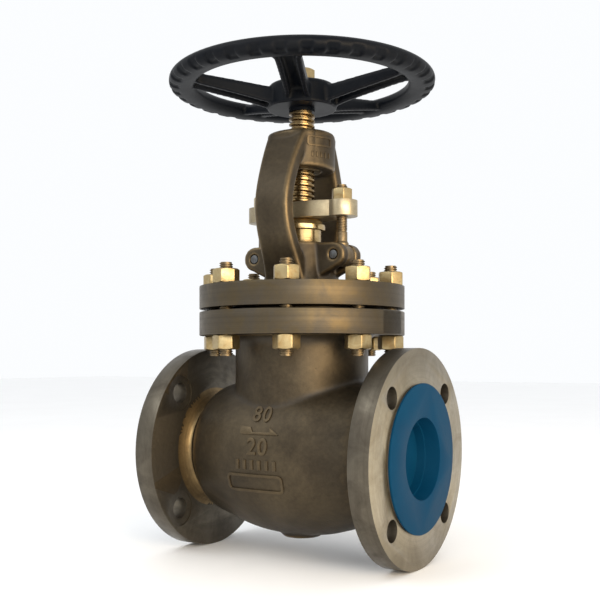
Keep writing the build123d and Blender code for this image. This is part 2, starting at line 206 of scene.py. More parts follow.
def lathe(name, outline, steps):
    """Solid turned about Z from (radius, height) points that start and end on the axis
    or meet end to end."""
    bm = bmesh.new()
    rings = []
    closed = outline[0][0] > 0
    for radius, height in outline:
        if radius <= 0:
            rings.append([bm.verts.new((0, 0, height))])
            continue
        ring = []
        for k in range(steps):
            angle = 2 * math.pi * k / steps
            ring.append(bm.verts.new((radius * math.cos(angle), radius * math.sin(angle), height)))
        rings.append(ring)
    pairs = list(zip(rings, rings[1:])) + ([(rings[-1], rings[0])] if closed else [])
    for low, high in pairs:
        for k in range(steps):
            after = (k + 1) % steps
            corners = [low[k % len(low)], low[after % len(low)],
                       high[after % len(high)], high[k % len(high)]]
            unique = list(dict.fromkeys(corners))
            if len(unique) > 2:
                bm.faces.new(unique)
    bmesh.ops.recalc_face_normals(bm, faces=bm.faces)
    return object_from_bmesh(name, bm)


def mark_relief(obj, reach):
    """Stores on each point how far the surface bulges (1) or dips (-1) there, in 'relief'."""
    mesh = obj.data
    count = len(mesh.vertices)
    places = np.empty(count * 3, np.float32)
    mesh.vertices.foreach_get("co", places)
    places = places.reshape(-1, 3)
    normals = np.empty(count * 3, np.float32)
    mesh.vertex_normals.foreach_get("vector", normals)
    normals = normals.reshape(-1, 3)
    ends = np.empty(len(mesh.edges) * 2, np.int32)
    mesh.edges.foreach_get("vertices", ends)
    ends = ends.reshape(-1, 2)
    step = places[ends[:, 1]] - places[ends[:, 0]]
    length2 = np.maximum((step ** 2).sum(1), 1e-12)
    total = np.zeros(count)
    number = np.zeros(count)
    for here, sign in ((0, -1.0), (1, 1.0)):
        bend = sign * 2.0 * (normals[ends[:, here]] * step).sum(1) / length2
        np.add.at(total, ends[:, here], bend)
        np.add.at(number, ends[:, here], 1)
    value = total / np.maximum(number, 1)
    for _ in range(3):
        spread = np.zeros(count)
        np.add.at(spread, ends[:, 0], value[ends[:, 1]])
        np.add.at(spread, ends[:, 1], value[ends[:, 0]])
        value = 0.4 * value + 0.6 * spread / np.maximum(number, 1)
    relief = mesh.attributes.new("relief", "FLOAT", "POINT")
    relief.data.foreach_set("value", np.clip(value * reach, -1, 1).astype(np.float32))
    return obj


def finish_piece(obj, body, nodes, slot, *materials):
    """Gives the piece its materials and hands it to the frame."""
    if materials:
        obj.data.materials.clear()
        for material in materials:
            obj.data.materials.append(material)
    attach(obj, body)
    if nodes:
        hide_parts(*nodes)
    return obj


# ---------------------------------------------------------------- node helpers

def put(tree, kind, inputs=None, **settings):
    """Adds a node, sets its own settings, and fills its inputs with values or sockets."""
    node = tree.nodes.new(kind)
    for key, value in settings.items():
        setattr(node, key, value)
    for key, value in (inputs or {}).items():
        if isinstance(value, bpy.types.NodeSocket):
            tree.links.new(value, node.inputs[key])
        else:
            node.inputs[key].default_value = value
    return node


def calc(tree, operation, *values, clamp=False):
    """One Math node; gives its output."""
    node = put(tree, "ShaderNodeMath", dict(enumerate(values)), operation=operation, use_clamp=clamp)
    return node.outputs[0]


def ramp(tree, value, low, high, to_low=0.0, to_high=1.0):
    """Runs value from low..high to to_low..to_high, clamped."""
    node = put(tree, "ShaderNodeMapRange", {"Value": value, "From Min": low, "From Max": high,
                                            "To Min": to_low, "To Max": to_high})
    node.clamp = True
    return node.outputs["Result"]


def mixed(tree, share, first, second, blend="MIX"):
    """Mixes two colours."""
    node = put(tree, "ShaderNodeMix", data_type="RGBA", blend_type=blend)
    pairs = ((node.inputs["Factor"], share), (node.inputs[6], first), (node.inputs[7], second))
    for socket, value in pairs:
        if isinstance(value, bpy.types.NodeSocket):
            tree.links.new(value, socket)
        else:
            socket.default_value = value
    return node.outputs[2]


def noise_at(tree, vector, scale, detail=3.0, rough=0.55, distortion=0.0):
    node = put(tree, "ShaderNodeTexNoise", {"Vector": vector, "Scale": scale, "Detail": detail,
                                            "Roughness": rough, "Distortion": distortion})
    return node.outputs["Fac"]


def new_group(name, inputs, outputs):
    """Shader group with (name, kind, default) inputs and (name, kind) outputs."""
    tree = bpy.data.node_groups.new(name, "ShaderNodeTree")
    for label, kind, default in inputs:
        socket = tree.interface.new_socket(label, in_out="INPUT", socket_type=kind)
        if default is not None:
            socket.default_value = default
    for label, kind in outputs:
        tree.interface.new_socket(label, in_out="OUTPUT", socket_type=kind)
    return tree, put(tree, "NodeGroupInput"), put(tree, "NodeGroupOutput")


def cast_grain_group():
    """Sand cast skin: fine grain, shallow waves, scattered pits and broad stains."""
    tree, into, out = new_group(
        "Cast Grain",
        [("Vector", "NodeSocketVector", None), ("Grain per metre", "NodeSocketFloat", 900.0),
         ("Pits", "NodeSocketFloat", 0.5)],
        [("Height", "NodeSocketFloat"), ("Stain", "NodeSocketFloat"), ("Speckle", "NodeSocketFloat")])
    vector = into.outputs["Vector"]
    grain = noise_at(tree, vector, into.outputs["Grain per metre"], 3.0, 0.6)
    sand = noise_at(tree, vector, calc(tree, "MULTIPLY", into.outputs["Grain per metre"], 0.3), 2.0, 0.5)
    waves = noise_at(tree, vector, 55.0, 2.0, 0.5)
    cells = put(tree, "ShaderNodeTexVoronoi", {"Vector": vector, "Scale": 190.0, "Randomness": 1.0})
    depth = ramp(tree, cells.outputs["Distance"], 0.05, 0.22, 1.0, 0.0)
    chosen = put(tree, "ShaderNodeSeparateColor", {"Color": cells.outputs["Color"]})
    rare = ramp(tree, chosen.outputs["Red"], 0.86, 0.9)
    pits = calc(tree, "MULTIPLY", calc(tree, "MULTIPLY", depth, rare), into.outputs["Pits"])
    height = calc(tree, "MULTIPLY_ADD", grain, 0.10, calc(tree, "MULTIPLY", sand, 0.16))
    height = calc(tree, "MULTIPLY_ADD", waves, 0.45, height)
    height = calc(tree, "SUBTRACT", height, calc(tree, "MULTIPLY", pits, 0.35))
    tree.links.new(height, out.inputs["Height"])
    broad = noise_at(tree, vector, 16.0, 5.0, 0.62, 0.6)
    tree.links.new(ramp(tree, broad, 0.36, 0.66), out.inputs["Stain"])
    fine = noise_at(tree, vector, 260.0, 4.0, 0.7)
    tree.links.new(ramp(tree, fine, 0.35, 0.7), out.inputs["Speckle"])
    return tree


def tool_marks_group():
    """Marks of a lathe tool round an axis along Z of the vector: rings that change with
    radius and height, broken up round the turn."""
    tree, into, out = new_group(
        "Tool Marks",
        [("Vector", "NodeSocketVector", None), ("Rings per metre", "NodeSocketFloat", 1500.0)],
        [("Height", "NodeSocketFloat"), ("Sheen", "NodeSocketFloat"), ("Smudge", "NodeSocketFloat")])
    parts = put(tree, "ShaderNodeSeparateXYZ", {"Vector": into.outputs["Vector"]})
    x2 = calc(tree, "MULTIPLY", parts.outputs["X"], parts.outputs["X"])
    radius = calc(tree, "SQRT", calc(tree, "MULTIPLY_ADD", parts.outputs["Y"], parts.outputs["Y"], x2))
    ring = put(tree, "ShaderNodeCombineXYZ", {"X": radius, "Y": parts.outputs["Z"]})
    fine = noise_at(tree, ring.outputs[0], into.outputs["Rings per metre"], 2.0, 0.6)
    coarse = calc(tree, "MULTIPLY", into.outputs["Rings per metre"], 0.17)
    wide = noise_at(tree, ring.outputs[0], coarse, 2.0, 0.5)
    tree.links.new(calc(tree, "MULTIPLY_ADD", wide, 0.4, fine), out.inputs["Height"])
    blended = calc(tree, "MULTIPLY_ADD", wide, 0.5, calc(tree, "MULTIPLY", fine, 0.5))
    tree.links.new(ramp(tree, blended, 0.35, 0.65), out.inputs["Sheen"])
    cloudy = noise_at(tree, into.outputs["Vector"], 38.0, 5.0, 0.65, 0.8)
    tree.links.new(ramp(tree, cloudy, 0.38, 0.68), out.inputs["Smudge"])
    return tree


def relief_wear_group():
    """Bare and dirty shares of the surface, from the stored relief and a little noise."""
    tree, into, out = new_group(
        "Relief Wear",
        [("Vector", "NodeSocketVector", None), ("Breakup per metre", "NodeSocketFloat", 120.0)],
        [("Rubbed", "NodeSocketFloat"), ("Dirt", "NodeSocketFloat")])
    relief = put(tree, "ShaderNodeAttribute", attribute_name="relief").outputs["Fac"]
    ragged = noise_at(tree, into.outputs["Vector"], into.outputs["Breakup per metre"], 4.0, 0.65)
    swing = calc(tree, "MULTIPLY_ADD", ragged, 0.5, -0.25)
    tree.links.new(ramp(tree, calc(tree, "ADD", relief, swing), 0.16, 0.75), out.inputs["Rubbed"])
    tree.links.new(ramp(tree, calc(tree, "SUBTRACT", swing, relief), 0.05, 0.7), out.inputs["Dirt"])
    return tree


# ---------------------------------------------------------------- finishes

def sized_group(tree, group, **inputs):
    node = put(tree, "ShaderNodeGroup", node_tree=group)
    for key, value in inputs.items():
        name = key.replace("_", " ")
        if isinstance(value, bpy.types.NodeSocket):
            tree.links.new(value, node.inputs[name])
        else:
            node.inputs[name].default_value = value
    return node


def start_material(name):
    material = bpy.data.materials.new(name)
    material.use_nodes = True
    tree = material.node_tree
    shader = tree.nodes["Principled BSDF"]
    place = put(tree, "ShaderNodeTexCoord").outputs["Object"]
    return material, tree, shader, place


def bump_into(tree, shader, height, distance, strength=1.0):
    bump = put(tree, "ShaderNodeBump", {"Height": height, "Distance": distance, "Strength": strength})
    tree.links.new(bump.outputs["Normal"], shader.inputs["Normal"])


def axis_vector(tree, place, axis, centre_z):
    """The place seen from the pipe axis (axis "X") or from the stem axis (axis "Z")."""
    turn = (0.0, math.radians(90), 0.0) if axis == "X" else (0.0, 0.0, 0.0)
    shift = (0.0, 0.0, -centre_z) if axis == "X" else (0.0, 0.0, 0.0)
    moved = put(tree, "ShaderNodeMapping", {"Vector": place, "Location": shift}, vector_type="POINT")
    turned = put(tree, "ShaderNodeMapping", {"Vector": moved.outputs[0], "Rotation": turn},
                 vector_type="POINT")
    return turned.outputs[0]


def rgba(colour, gain=1.0):
    return (colour[0] * gain, colour[1] * gain, colour[2] * gain, 1.0)


def cast_bronze(groups, looks):
    """Dull brown patina over cast aluminium bronze, rubbed golden on the ridges."""
    material, tree, shader, place = start_material("cast_bronze")
    skin = sized_group(tree, groups["cast"], Vector=place, Grain_per_metre=900.0, Pits=0.6)
    wear = sized_group(tree, groups["wear"], Vector=place, Breakup_per_metre=110.0)
    dark = rgba(looks.patina_dark)
    light = rgba(looks.patina_light)
    colour = mixed(tree, skin.outputs["Stain"], dark, light)
    speckle = ramp(tree, skin.outputs["Speckle"], 0.0, 1.0, 0.82, 1.12)
    shade = put(tree, "ShaderNodeCombineColor", {"Red": speckle, "Green": speckle, "Blue": speckle})
    colour = mixed(tree, 1.0, colour, shade.outputs[0], "MULTIPLY")
    rubbed = calc(tree, "MULTIPLY", wear.outputs["Rubbed"], 0.42)
    colour = mixed(tree, rubbed, colour, rgba(looks.bare_bronze_and_highlight))
    colour = mixed(tree, calc(tree, "MULTIPLY", wear.outputs["Dirt"], 0.75), colour, rgba(looks.dirt))
    tree.links.new(colour, shader.inputs["Base Color"])
    rough = calc(tree, "MULTIPLY_ADD", skin.outputs["Stain"], -0.08, 0.5)
    rough = calc(tree, "MULTIPLY_ADD", wear.outputs["Rubbed"], -0.1, rough)
    rough = calc(tree, "MULTIPLY_ADD", skin.outputs["Speckle"], 0.06, rough)
    tree.links.new(rough, shader.inputs["Roughness"])
    metal = calc(tree, "MULTIPLY_ADD", wear.outputs["Dirt"], -0.45, 0.8)
    tree.links.new(metal, shader.inputs["Metallic"])
    bump_into(tree, shader, skin.outputs["Height"], 0.0006, 0.8)
    return material


def turned_bronze(name, groups, axis, bright, dull, rough, rings, painted_shade_crown=0.0):
    """Machined bronze with rings of tool marks round the pipe axis or the stem axis. The crown value is
    painted shade: how far a flange face is painted darker above and below its bore."""
    material, tree, shader, place = start_material(name)
    turned = axis_vector(tree, place, axis, PIPE_Z)
    marks = sized_group(tree, groups["tool"], Vector=turned, Rings_per_metre=rings)
    skin = sized_group(tree, groups["cast"], Vector=place, Grain_per_metre=1500.0, Pits=0.2)
    colour = mixed(tree, marks.outputs["Smudge"], rgba(bright), rgba(dull))
    sheen = ramp(tree, marks.outputs["Sheen"], 0.0, 1.0, 0.86, 1.1)
    shade = put(tree, "ShaderNodeCombineColor", {"Red": sheen, "Green": sheen, "Blue": sheen})
    colour = mixed(tree, 1.0, colour, shade.outputs[0], "MULTIPLY")
    colour = mixed(tree, calc(tree, "MULTIPLY", skin.outputs["Speckle"], 0.18), colour, rgba(dull, 0.6))
    if painted_shade_crown:
        # Painted shade: the face is darker above and below the bore, where the turned face's reflection is
        # dim.
        height = put(tree, "ShaderNodeSeparateXYZ", {"Vector": place}).outputs["Z"]
        away = calc(tree, "ABSOLUTE", calc(tree, "SUBTRACT", height, PIPE_Z))
        colour = mixed(tree, ramp(tree, away, 0.04, 0.085, 0.0, painted_shade_crown), colour, rgba(dull, 0.35))
    tree.links.new(colour, shader.inputs["Base Color"])
    change = calc(tree, "MULTIPLY_ADD", marks.outputs["Smudge"], 0.14, rough)
    change = calc(tree, "MULTIPLY_ADD", marks.outputs["Sheen"], -0.05, change)
    tree.links.new(change, shader.inputs["Roughness"])
    shader.inputs["Metallic"].default_value = 0.92
    height = calc(tree, "MULTIPLY_ADD", skin.outputs["Speckle"], 0.25, marks.outputs["Height"])
    bump_into(tree, shader, height, 0.00006, 0.9)
    return material


def pale_brass(name, groups, bright, dull, rough):
    """Machined brass of nuts: pale faces with smudges and faint milling."""
    material, tree, shader, place = start_material(name)
    skin = sized_group(tree, groups["cast"], Vector=place, Grain_per_metre=1100.0, Pits=0.35)
    stretch = put(tree, "ShaderNodeMapping", {"Vector": place, "Scale": (1.0, 1.0, 9.0)},
                  vector_type="POINT")
    milled = noise_at(tree, stretch.outputs[0], 420.0, 3.0, 0.6)
    cloudy = noise_at(tree, place, 95.0, 5.0, 0.7, 1.2)
    tarnish = ramp(tree, cloudy, 0.42, 0.72)
    colour = mixed(tree, tarnish, rgba(bright), rgba(dull))
    spots = ramp(tree, noise_at(tree, place, 700.0, 2.0, 0.5), 0.66, 0.74)
    colour = mixed(tree, calc(tree, "MULTIPLY", spots, 0.45), colour, rgba(dull, 0.35))
    tree.links.new(colour, shader.inputs["Base Color"])
    change = calc(tree, "MULTIPLY_ADD", tarnish, 0.16, rough)
    tree.links.new(calc(tree, "MULTIPLY_ADD", milled, 0.1, change), shader.inputs["Roughness"])
    shader.inputs["Metallic"].default_value = 0.95
    height = calc(tree, "MULTIPLY_ADD", milled, 0.6, calc(tree, "MULTIPLY", skin.outputs["Height"], 0.6))
    bump_into(tree, shader, height, 0.00012, 0.7)
    return material


def wheel_enamel(groups, looks):
    """Black enamel with orange peel, dust in the hollows and thin edges."""
    material, tree, shader, place = start_material("wheel_enamel")
    wear = sized_group(tree, groups["wear"], Vector=place, Breakup_per_metre=170.0)
    skin = sized_group(tree, groups["cast"], Vector=place, Grain_per_metre=420.0, Pits=0.5)
    colour = mixed(tree, skin.outputs["Stain"], rgba(looks.enamel), rgba(looks.enamel_worn))
    patchy = calc(tree, "MULTIPLY_ADD", skin.outputs["Speckle"], 0.5, 0.25)
    dust = calc(tree, "MULTIPLY", wear.outputs["Dirt"], patchy)
    colour = mixed(tree, calc(tree, "MULTIPLY", dust, 0.55), colour, rgba(looks.wheel_dust))
    rubbed = calc(tree, "MULTIPLY", wear.outputs["Rubbed"], 0.22)
    colour = mixed(tree, rubbed, colour, rgba(looks.enamel_edge))
    tree.links.new(colour, shader.inputs["Base Color"])
    rough = calc(tree, "MULTIPLY_ADD", dust, 0.3, 0.36)
    rough = calc(tree, "MULTIPLY_ADD", skin.outputs["Stain"], 0.1, rough)
    tree.links.new(rough, shader.inputs["Roughness"])
    shader.inputs["Specular IOR Level"].default_value = 0.07
    bump_into(tree, shader, skin.outputs["Height"], 0.0005, 0.7)
    return material


def cap_plastic(groups, looks):
    """Moulded blue polyethylene: waxy, scuffed, a little lighter where it was rubbed."""
    material, tree, shader, place = start_material("cap_plastic")
    turned = axis_vector(tree, place, "X", PIPE_Z)
    marks = sized_group(tree, groups["tool"], Vector=turned, Rings_per_metre=700.0)
    haze = ramp(tree, noise_at(tree, place, 24.0, 5.0, 0.6, 0.5), 0.35, 0.7)
    colour = mixed(tree, haze, rgba(looks.cap_blue), rgba(looks.cap_blue_faded))
    scratch = put(tree, "ShaderNodeMapping", {"Vector": place, "Scale": (1.0, 14.0, 1.6),
                                              "Rotation": (0.5, 0.0, 0.0)}, vector_type="POINT")
    scuffs = ramp(tree, noise_at(tree, scratch.outputs[0], 60.0, 4.0, 0.7), 0.62, 0.72)
    colour = mixed(tree, calc(tree, "MULTIPLY", scuffs, 0.22), colour, rgba(looks.cap_blue_faded, 1.6))
    tree.links.new(colour, shader.inputs["Base Color"])
    rough = calc(tree, "MULTIPLY_ADD", haze, 0.12, 0.42)
    tree.links.new(calc(tree, "MULTIPLY_ADD", scuffs, 0.12, rough), shader.inputs["Roughness"])
    shader.inputs["Subsurface Weight"].default_value = 0.0
    shader.inputs["Specular IOR Level"].default_value = 0.04
    fine = noise_at(tree, place, 800.0, 2.0, 0.5)
    bump_into(tree, shader, calc(tree, "MULTIPLY_ADD", marks.outputs["Height"], 0.3, fine), 0.00008, 0.6)
    return material


def fibre(name, colour, weave_per_metre, rough):
    """Braided or pressed fibre of the packing and the gasket."""
    material, tree, shader, place = start_material(name)
    weave = put(tree, "ShaderNodeTexWave", {"Vector": place, "Scale": weave_per_metre, "Distortion": 3.0,
                                            "Detail": 2.0}, wave_type="BANDS", bands_direction="DIAGONAL")
    tone = mixed(tree, weave.outputs["Fac"], rgba(colour, 0.6), rgba(colour, 1.5))
    tree.links.new(tone, shader.inputs["Base Color"])
    change = calc(tree, "MULTIPLY_ADD", weave.outputs["Fac"], 0.15, rough)
    tree.links.new(change, shader.inputs["Roughness"])
    bump_into(tree, shader, weave.outputs["Fac"], 0.0003, 0.8)
    return material


def make_finishes(looks):
    """Every material by name."""
    groups = {"cast": cast_grain_group(), "tool": tool_marks_group(), "wear": relief_wear_group()}
    turned = (
        ("rim", "turned_rim", "X", looks.rim_bronze, looks.rim_bronze_dull, 0.40, 1300.0, 0.0),
        # The face's last number is its painted shade crown: darker above and below the bore.
        ("face", "turned_face", "X", looks.machined_bronze, looks.machined_bronze_dull, 0.34, 1700.0, 0.62),
        ("joint", "turned_joint", "Z", looks.joint_bronze, looks.rim_bronze_dull, 0.42, 1200.0, 0.0),
        ("plate", "milled_plate", "Z", looks.plate_bronze, looks.machined_bronze_dull, 0.36, 900.0, 0.0),
        # The fillet finish is a painted highlight: golden colour where light from the right falls on the
        # pipe flanges' fillets.
        ("fillet", "rubbed_fillet", "X", looks.bare_bronze_and_highlight, looks.stem_bronze_dull, 0.44, 700.0, 0.0),
        ("gland", "bright_gland", "Z", looks.gland_brass, looks.gland_brass_dull, 0.17, 1500.0, 0.0),
        ("stem", "bright_stem", "Z", looks.stem_bronze, looks.stem_bronze_dull, 0.22, 2200.0, 0.0),
        ("inner", "bored_bronze", "Z", looks.machined_bronze, looks.rim_bronze_dull, 0.32, 1500.0, 0.0),
    )
    finishes = {"cast": cast_bronze(groups, looks)}
    for key, name, axis, bright, dull, rough, rings, painted_shade_crown in turned:
        finishes[key] = turned_bronze(name, groups, axis, bright, dull, rough, rings, painted_shade_crown)
    finishes["nut"] = pale_brass("pale_brass", groups, looks.nut_brass, looks.nut_brass_dull, 0.26)
    finishes["stud"] = pale_brass("stud_bronze", groups, looks.stud_bronze, looks.stud_bronze_dull, 0.34)
    finishes["pin"] = pale_brass("pin_metal", groups, looks.pin_metal, looks.pin_metal_dull, 0.3)
    finishes["enamel"] = wheel_enamel(groups, looks)
    finishes["cap"] = cap_plastic(groups, looks)
    finishes["packing"] = fibre("braided_graphite", (0.05, 0.05, 0.055), 900.0, 0.6)
    finishes["gasket"] = fibre("pressed_gasket", (0.09, 0.085, 0.08), 500.0, 0.75)
    return finishes


FINISH = {}


# ---------------------------------------------------------------- geometry node trees

def lifted(tree, shape, height):
    """Moves a node's geometry up by a height socket."""
    rise = put(tree, "ShaderNodeCombineXYZ", {"Z": height})
    return put(tree, "GeometryNodeTransform", {
        "Geometry": shape.outputs[0], "Translation": rise.outputs[0]})


def closed_tree(tree, shape, material, out):
    """Ends a tree: makes instances real, sets the material and joins the output."""
    real = put(tree, "GeometryNodeRealizeInstances", {"Geometry": shape.outputs[0]})
    dressed = put(tree, "GeometryNodeSetMaterial", {"Geometry": real.outputs[0], "Material": material})
    tree.links.new(dressed.outputs[0], out.inputs[0])
    return tree


def thread_tree():
    """A rod with a raised screw thread: a ridge follows a spiral round a core."""
    tree = bpy.data.node_groups.new("Screw Thread", "GeometryNodeTree")
    sizes = (("Crest Radius", 12.0 * MM), ("Depth", 2.2 * MM), ("Pitch", 5.0 * MM), ("Length", 50.0 * MM),
             ("Start Height", 0.0), ("Crest Width", 1.9 * MM), ("Root Width", 3.3 * MM))
    for label, value in sizes:
        socket = tree.interface.new_socket(label, in_out="INPUT", socket_type="NodeSocketFloat")
        socket.default_value = value
    steps = tree.interface.new_socket("Steps per Turn", in_out="INPUT", socket_type="NodeSocketInt")
    steps.default_value = 40
    tree.interface.new_socket("Material", in_out="INPUT", socket_type="NodeSocketMaterial")
    tree.interface.new_socket("Geometry", in_out="OUTPUT", socket_type="NodeSocketGeometry")
    into = put(tree, "NodeGroupInput").outputs
    out = put(tree, "NodeGroupOutput")
    root_r = calc(tree, "SUBTRACT", into["Crest Radius"], into["Depth"])
    ridge_r = calc(tree, "SUBTRACT", into["Crest Radius"], calc(tree, "MULTIPLY", into["Depth"], 0.5))
    run = calc(tree, "SUBTRACT", into["Length"], into["Pitch"])
    spiral = put(tree, "GeometryNodeCurveSpiral", {
        "Resolution": into["Steps per Turn"], "Rotations": calc(tree, "DIVIDE", run, into["Pitch"]),
        "Start Radius": ridge_r, "End Radius": ridge_r, "Height": run})
    upright = put(tree, "GeometryNodeSetCurveNormal", {"Curve": spiral.outputs[0]}, mode="Z_UP")
    section = put(tree, "GeometryNodeCurvePrimitiveQuadrilateral", {
        "Bottom Width": into["Root Width"], "Top Width": into["Crest Width"], "Height": into["Depth"],
        "Offset": 0.0}, mode="TRAPEZOID")
    lying = put(tree, "GeometryNodeTransform", {"Geometry": section.outputs[0],
                                                "Rotation": (0.0, 0.0, math.radians(90))})
    ridge = put(tree, "GeometryNodeCurveToMesh", {
        "Curve": upright.outputs[0], "Profile Curve": lying.outputs[0], "Fill Caps": True})
    raised = lifted(tree, ridge, calc(tree, "MULTIPLY_ADD", into["Pitch"], 0.5, into["Start Height"]))
    core_r = calc(tree, "ADD", root_r, 0.03 * MM)
    core = put(tree, "GeometryNodeMeshCylinder", {
        "Vertices": into["Steps per Turn"], "Radius": core_r, "Depth": into["Length"]})
    stood = lifted(tree, core, calc(tree, "MULTIPLY_ADD", into["Length"], 0.5, into["Start Height"]))
    both = put(tree, "GeometryNodeJoinGeometry")
    tree.links.new(raised.outputs[0], both.inputs[0])
    tree.links.new(stood.outputs[0], both.inputs[0])
    return closed_tree(tree, both, into["Material"], out)


def ring_tree():
    """Sets one fastener at each point of a ring and turns it by the point's 'turn'."""
    tree = bpy.data.node_groups.new("Fastener Ring", "GeometryNodeTree")
    tree.interface.new_socket("Places", in_out="INPUT", socket_type="NodeSocketGeometry")
    tree.interface.new_socket("Fastener", in_out="INPUT", socket_type="NodeSocketObject")
    lift = tree.interface.new_socket("Height", in_out="INPUT", socket_type="NodeSocketFloat")
    lift.default_value = 0.0
    tree.interface.new_socket("Material", in_out="INPUT", socket_type="NodeSocketMaterial")
    tree.interface.new_socket("Geometry", in_out="OUTPUT", socket_type="NodeSocketGeometry")
    into = put(tree, "NodeGroupInput").outputs
    out = put(tree, "NodeGroupOutput")
    rise = put(tree, "ShaderNodeCombineXYZ", {"Z": into["Height"]})
    level = put(tree, "GeometryNodeTransform", {
        "Geometry": into["Places"], "Translation": rise.outputs[0]})
    model = put(tree, "GeometryNodeObjectInfo", {"Object": into["Fastener"]}, transform_space="ORIGINAL")
    turn = put(tree, "GeometryNodeInputNamedAttribute", {"Name": "turn"}, data_type="FLOAT")
    spin = put(tree, "ShaderNodeCombineXYZ", {"Z": turn.outputs["Attribute"]})
    placed = put(tree, "GeometryNodeInstanceOnPoints", {"Points": level.outputs[0],
                                                        "Instance": model.outputs["Geometry"],
                                                        "Rotation": spin.outputs[0]})
    return closed_tree(tree, placed, into["Material"], out)


def grown(name, start_mesh, tree, **inputs):
    """A plain mesh from a geometry node tree with these inputs."""
    obj = add_object(name, start_mesh or bpy.data.meshes.new(name))
    grow = obj.modifiers.new("grow", "NODES")
    grow.node_group = tree
    for socket in tree.interface.items_tree:
        key = socket.name.replace(" ", "_")
        if socket.in_out == "INPUT" and key in inputs:
            grow[socket.identifier] = inputs[key]
    return settle(obj)


def threaded_rod(name, material, radius, depth, pitch, low, high, steps):
    """Thread between two heights, cut square at both ends."""
    rod = grown(name, None, thread_tree_once(), Crest_Radius=radius, Depth=depth, Pitch=pitch,
                Length=high - low, Start_Height=low, Crest_Width=pitch * 0.3, Root_Width=pitch * 0.78,
                Steps_per_Turn=steps, Material=material)
    return shaded(rod, 35.0)


TREES = {}


def thread_tree_once():
    if "thread" not in TREES:
        TREES["thread"] = thread_tree()
    return TREES["thread"]


def ring_tree_once():
    if "ring" not in TREES:
        TREES["ring"] = ring_tree()
    return TREES["ring"]


def stud_places(turns=(0,) * STUD_COUNT):
    """Points of the studs round the bonnet joint, each with its fastener's own turn."""
    mesh = bpy.data.meshes.new("stud_places")
    angles = [2 * math.pi * (k + 0.5) / STUD_COUNT for k in range(STUD_COUNT)]
    points = [(STUD_CIRCLE_R * math.cos(a), STUD_CIRCLE_R * math.sin(a), 0.0) for a in angles]
    mesh.from_pydata(points, [], [])
    turn = mesh.attributes.new("turn", "FLOAT", "POINT")
    for k, angle in enumerate(angles):
        turn.data[k].value = angle + math.radians(turns[k])
    return mesh


def hex_nut(name, across_flats, height, bore_r, top=True, bottom=True, edge=0.35 * MM):
    """Hexagonal nut on z = 0 with turned corner chamfers and a countersunk bore."""
    arc = 10
    steps = 6 * arc
    half = across_flats / 2
    land = half * 0.95
    slope = math.tan(math.radians(28))
    sink = 0.9 * MM

    def reach(k):
        angle = math.pi / 3 * ((k % arc) / arc - 0.5)
        return half / math.cos(angle)

    def ring(bm, radius_of, height_of):
        points = []
        for k in range(steps):
            angle = 2 * math.pi * k / steps
            radius = radius_of(k)
            place = (radius * math.cos(angle), radius * math.sin(angle), height_of(radius))
            points.append(bm.verts.new(place))
        return points

    def upper(radius):
        return height - max(0.0, radius - land) * slope if top else height

    def lower(radius):
        return max(0.0, radius - land) * slope if bottom else 0.0

    bm = bmesh.new()
    rings = [
        ring(bm, lambda k: bore_r, lambda r: sink),
        ring(bm, lambda k: bore_r + sink, lambda r: 0.0),
        ring(bm, lambda k: land, lower),
        ring(bm, reach, lower),
        ring(bm, reach, upper),
        ring(bm, lambda k: land, upper),
        ring(bm, lambda k: bore_r + sink, lambda r: height),
        ring(bm, lambda k: bore_r, lambda r: height - sink),
    ]
    for low, high in zip(rings, rings[1:] + rings[:1]):
        for k in range(steps):
            after = (k + 1) % steps
            bm.faces.new((low[k], low[after], high[after], high[k]))
    bmesh.ops.recalc_face_normals(bm, faces=bm.faces)
    return bevelled(object_from_bmesh(name, bm), edge, 2, 24.0)


# ---------------------------------------------------------------- settings

def colour(name, description, value):
    """A colour setting."""
    return FloatVectorProperty(name=name, description=description, subtype="COLOR", default=value)


def length(name, description, value):
    """A length setting."""
    return FloatProperty(name=name, description=description, unit="LENGTH", default=value)


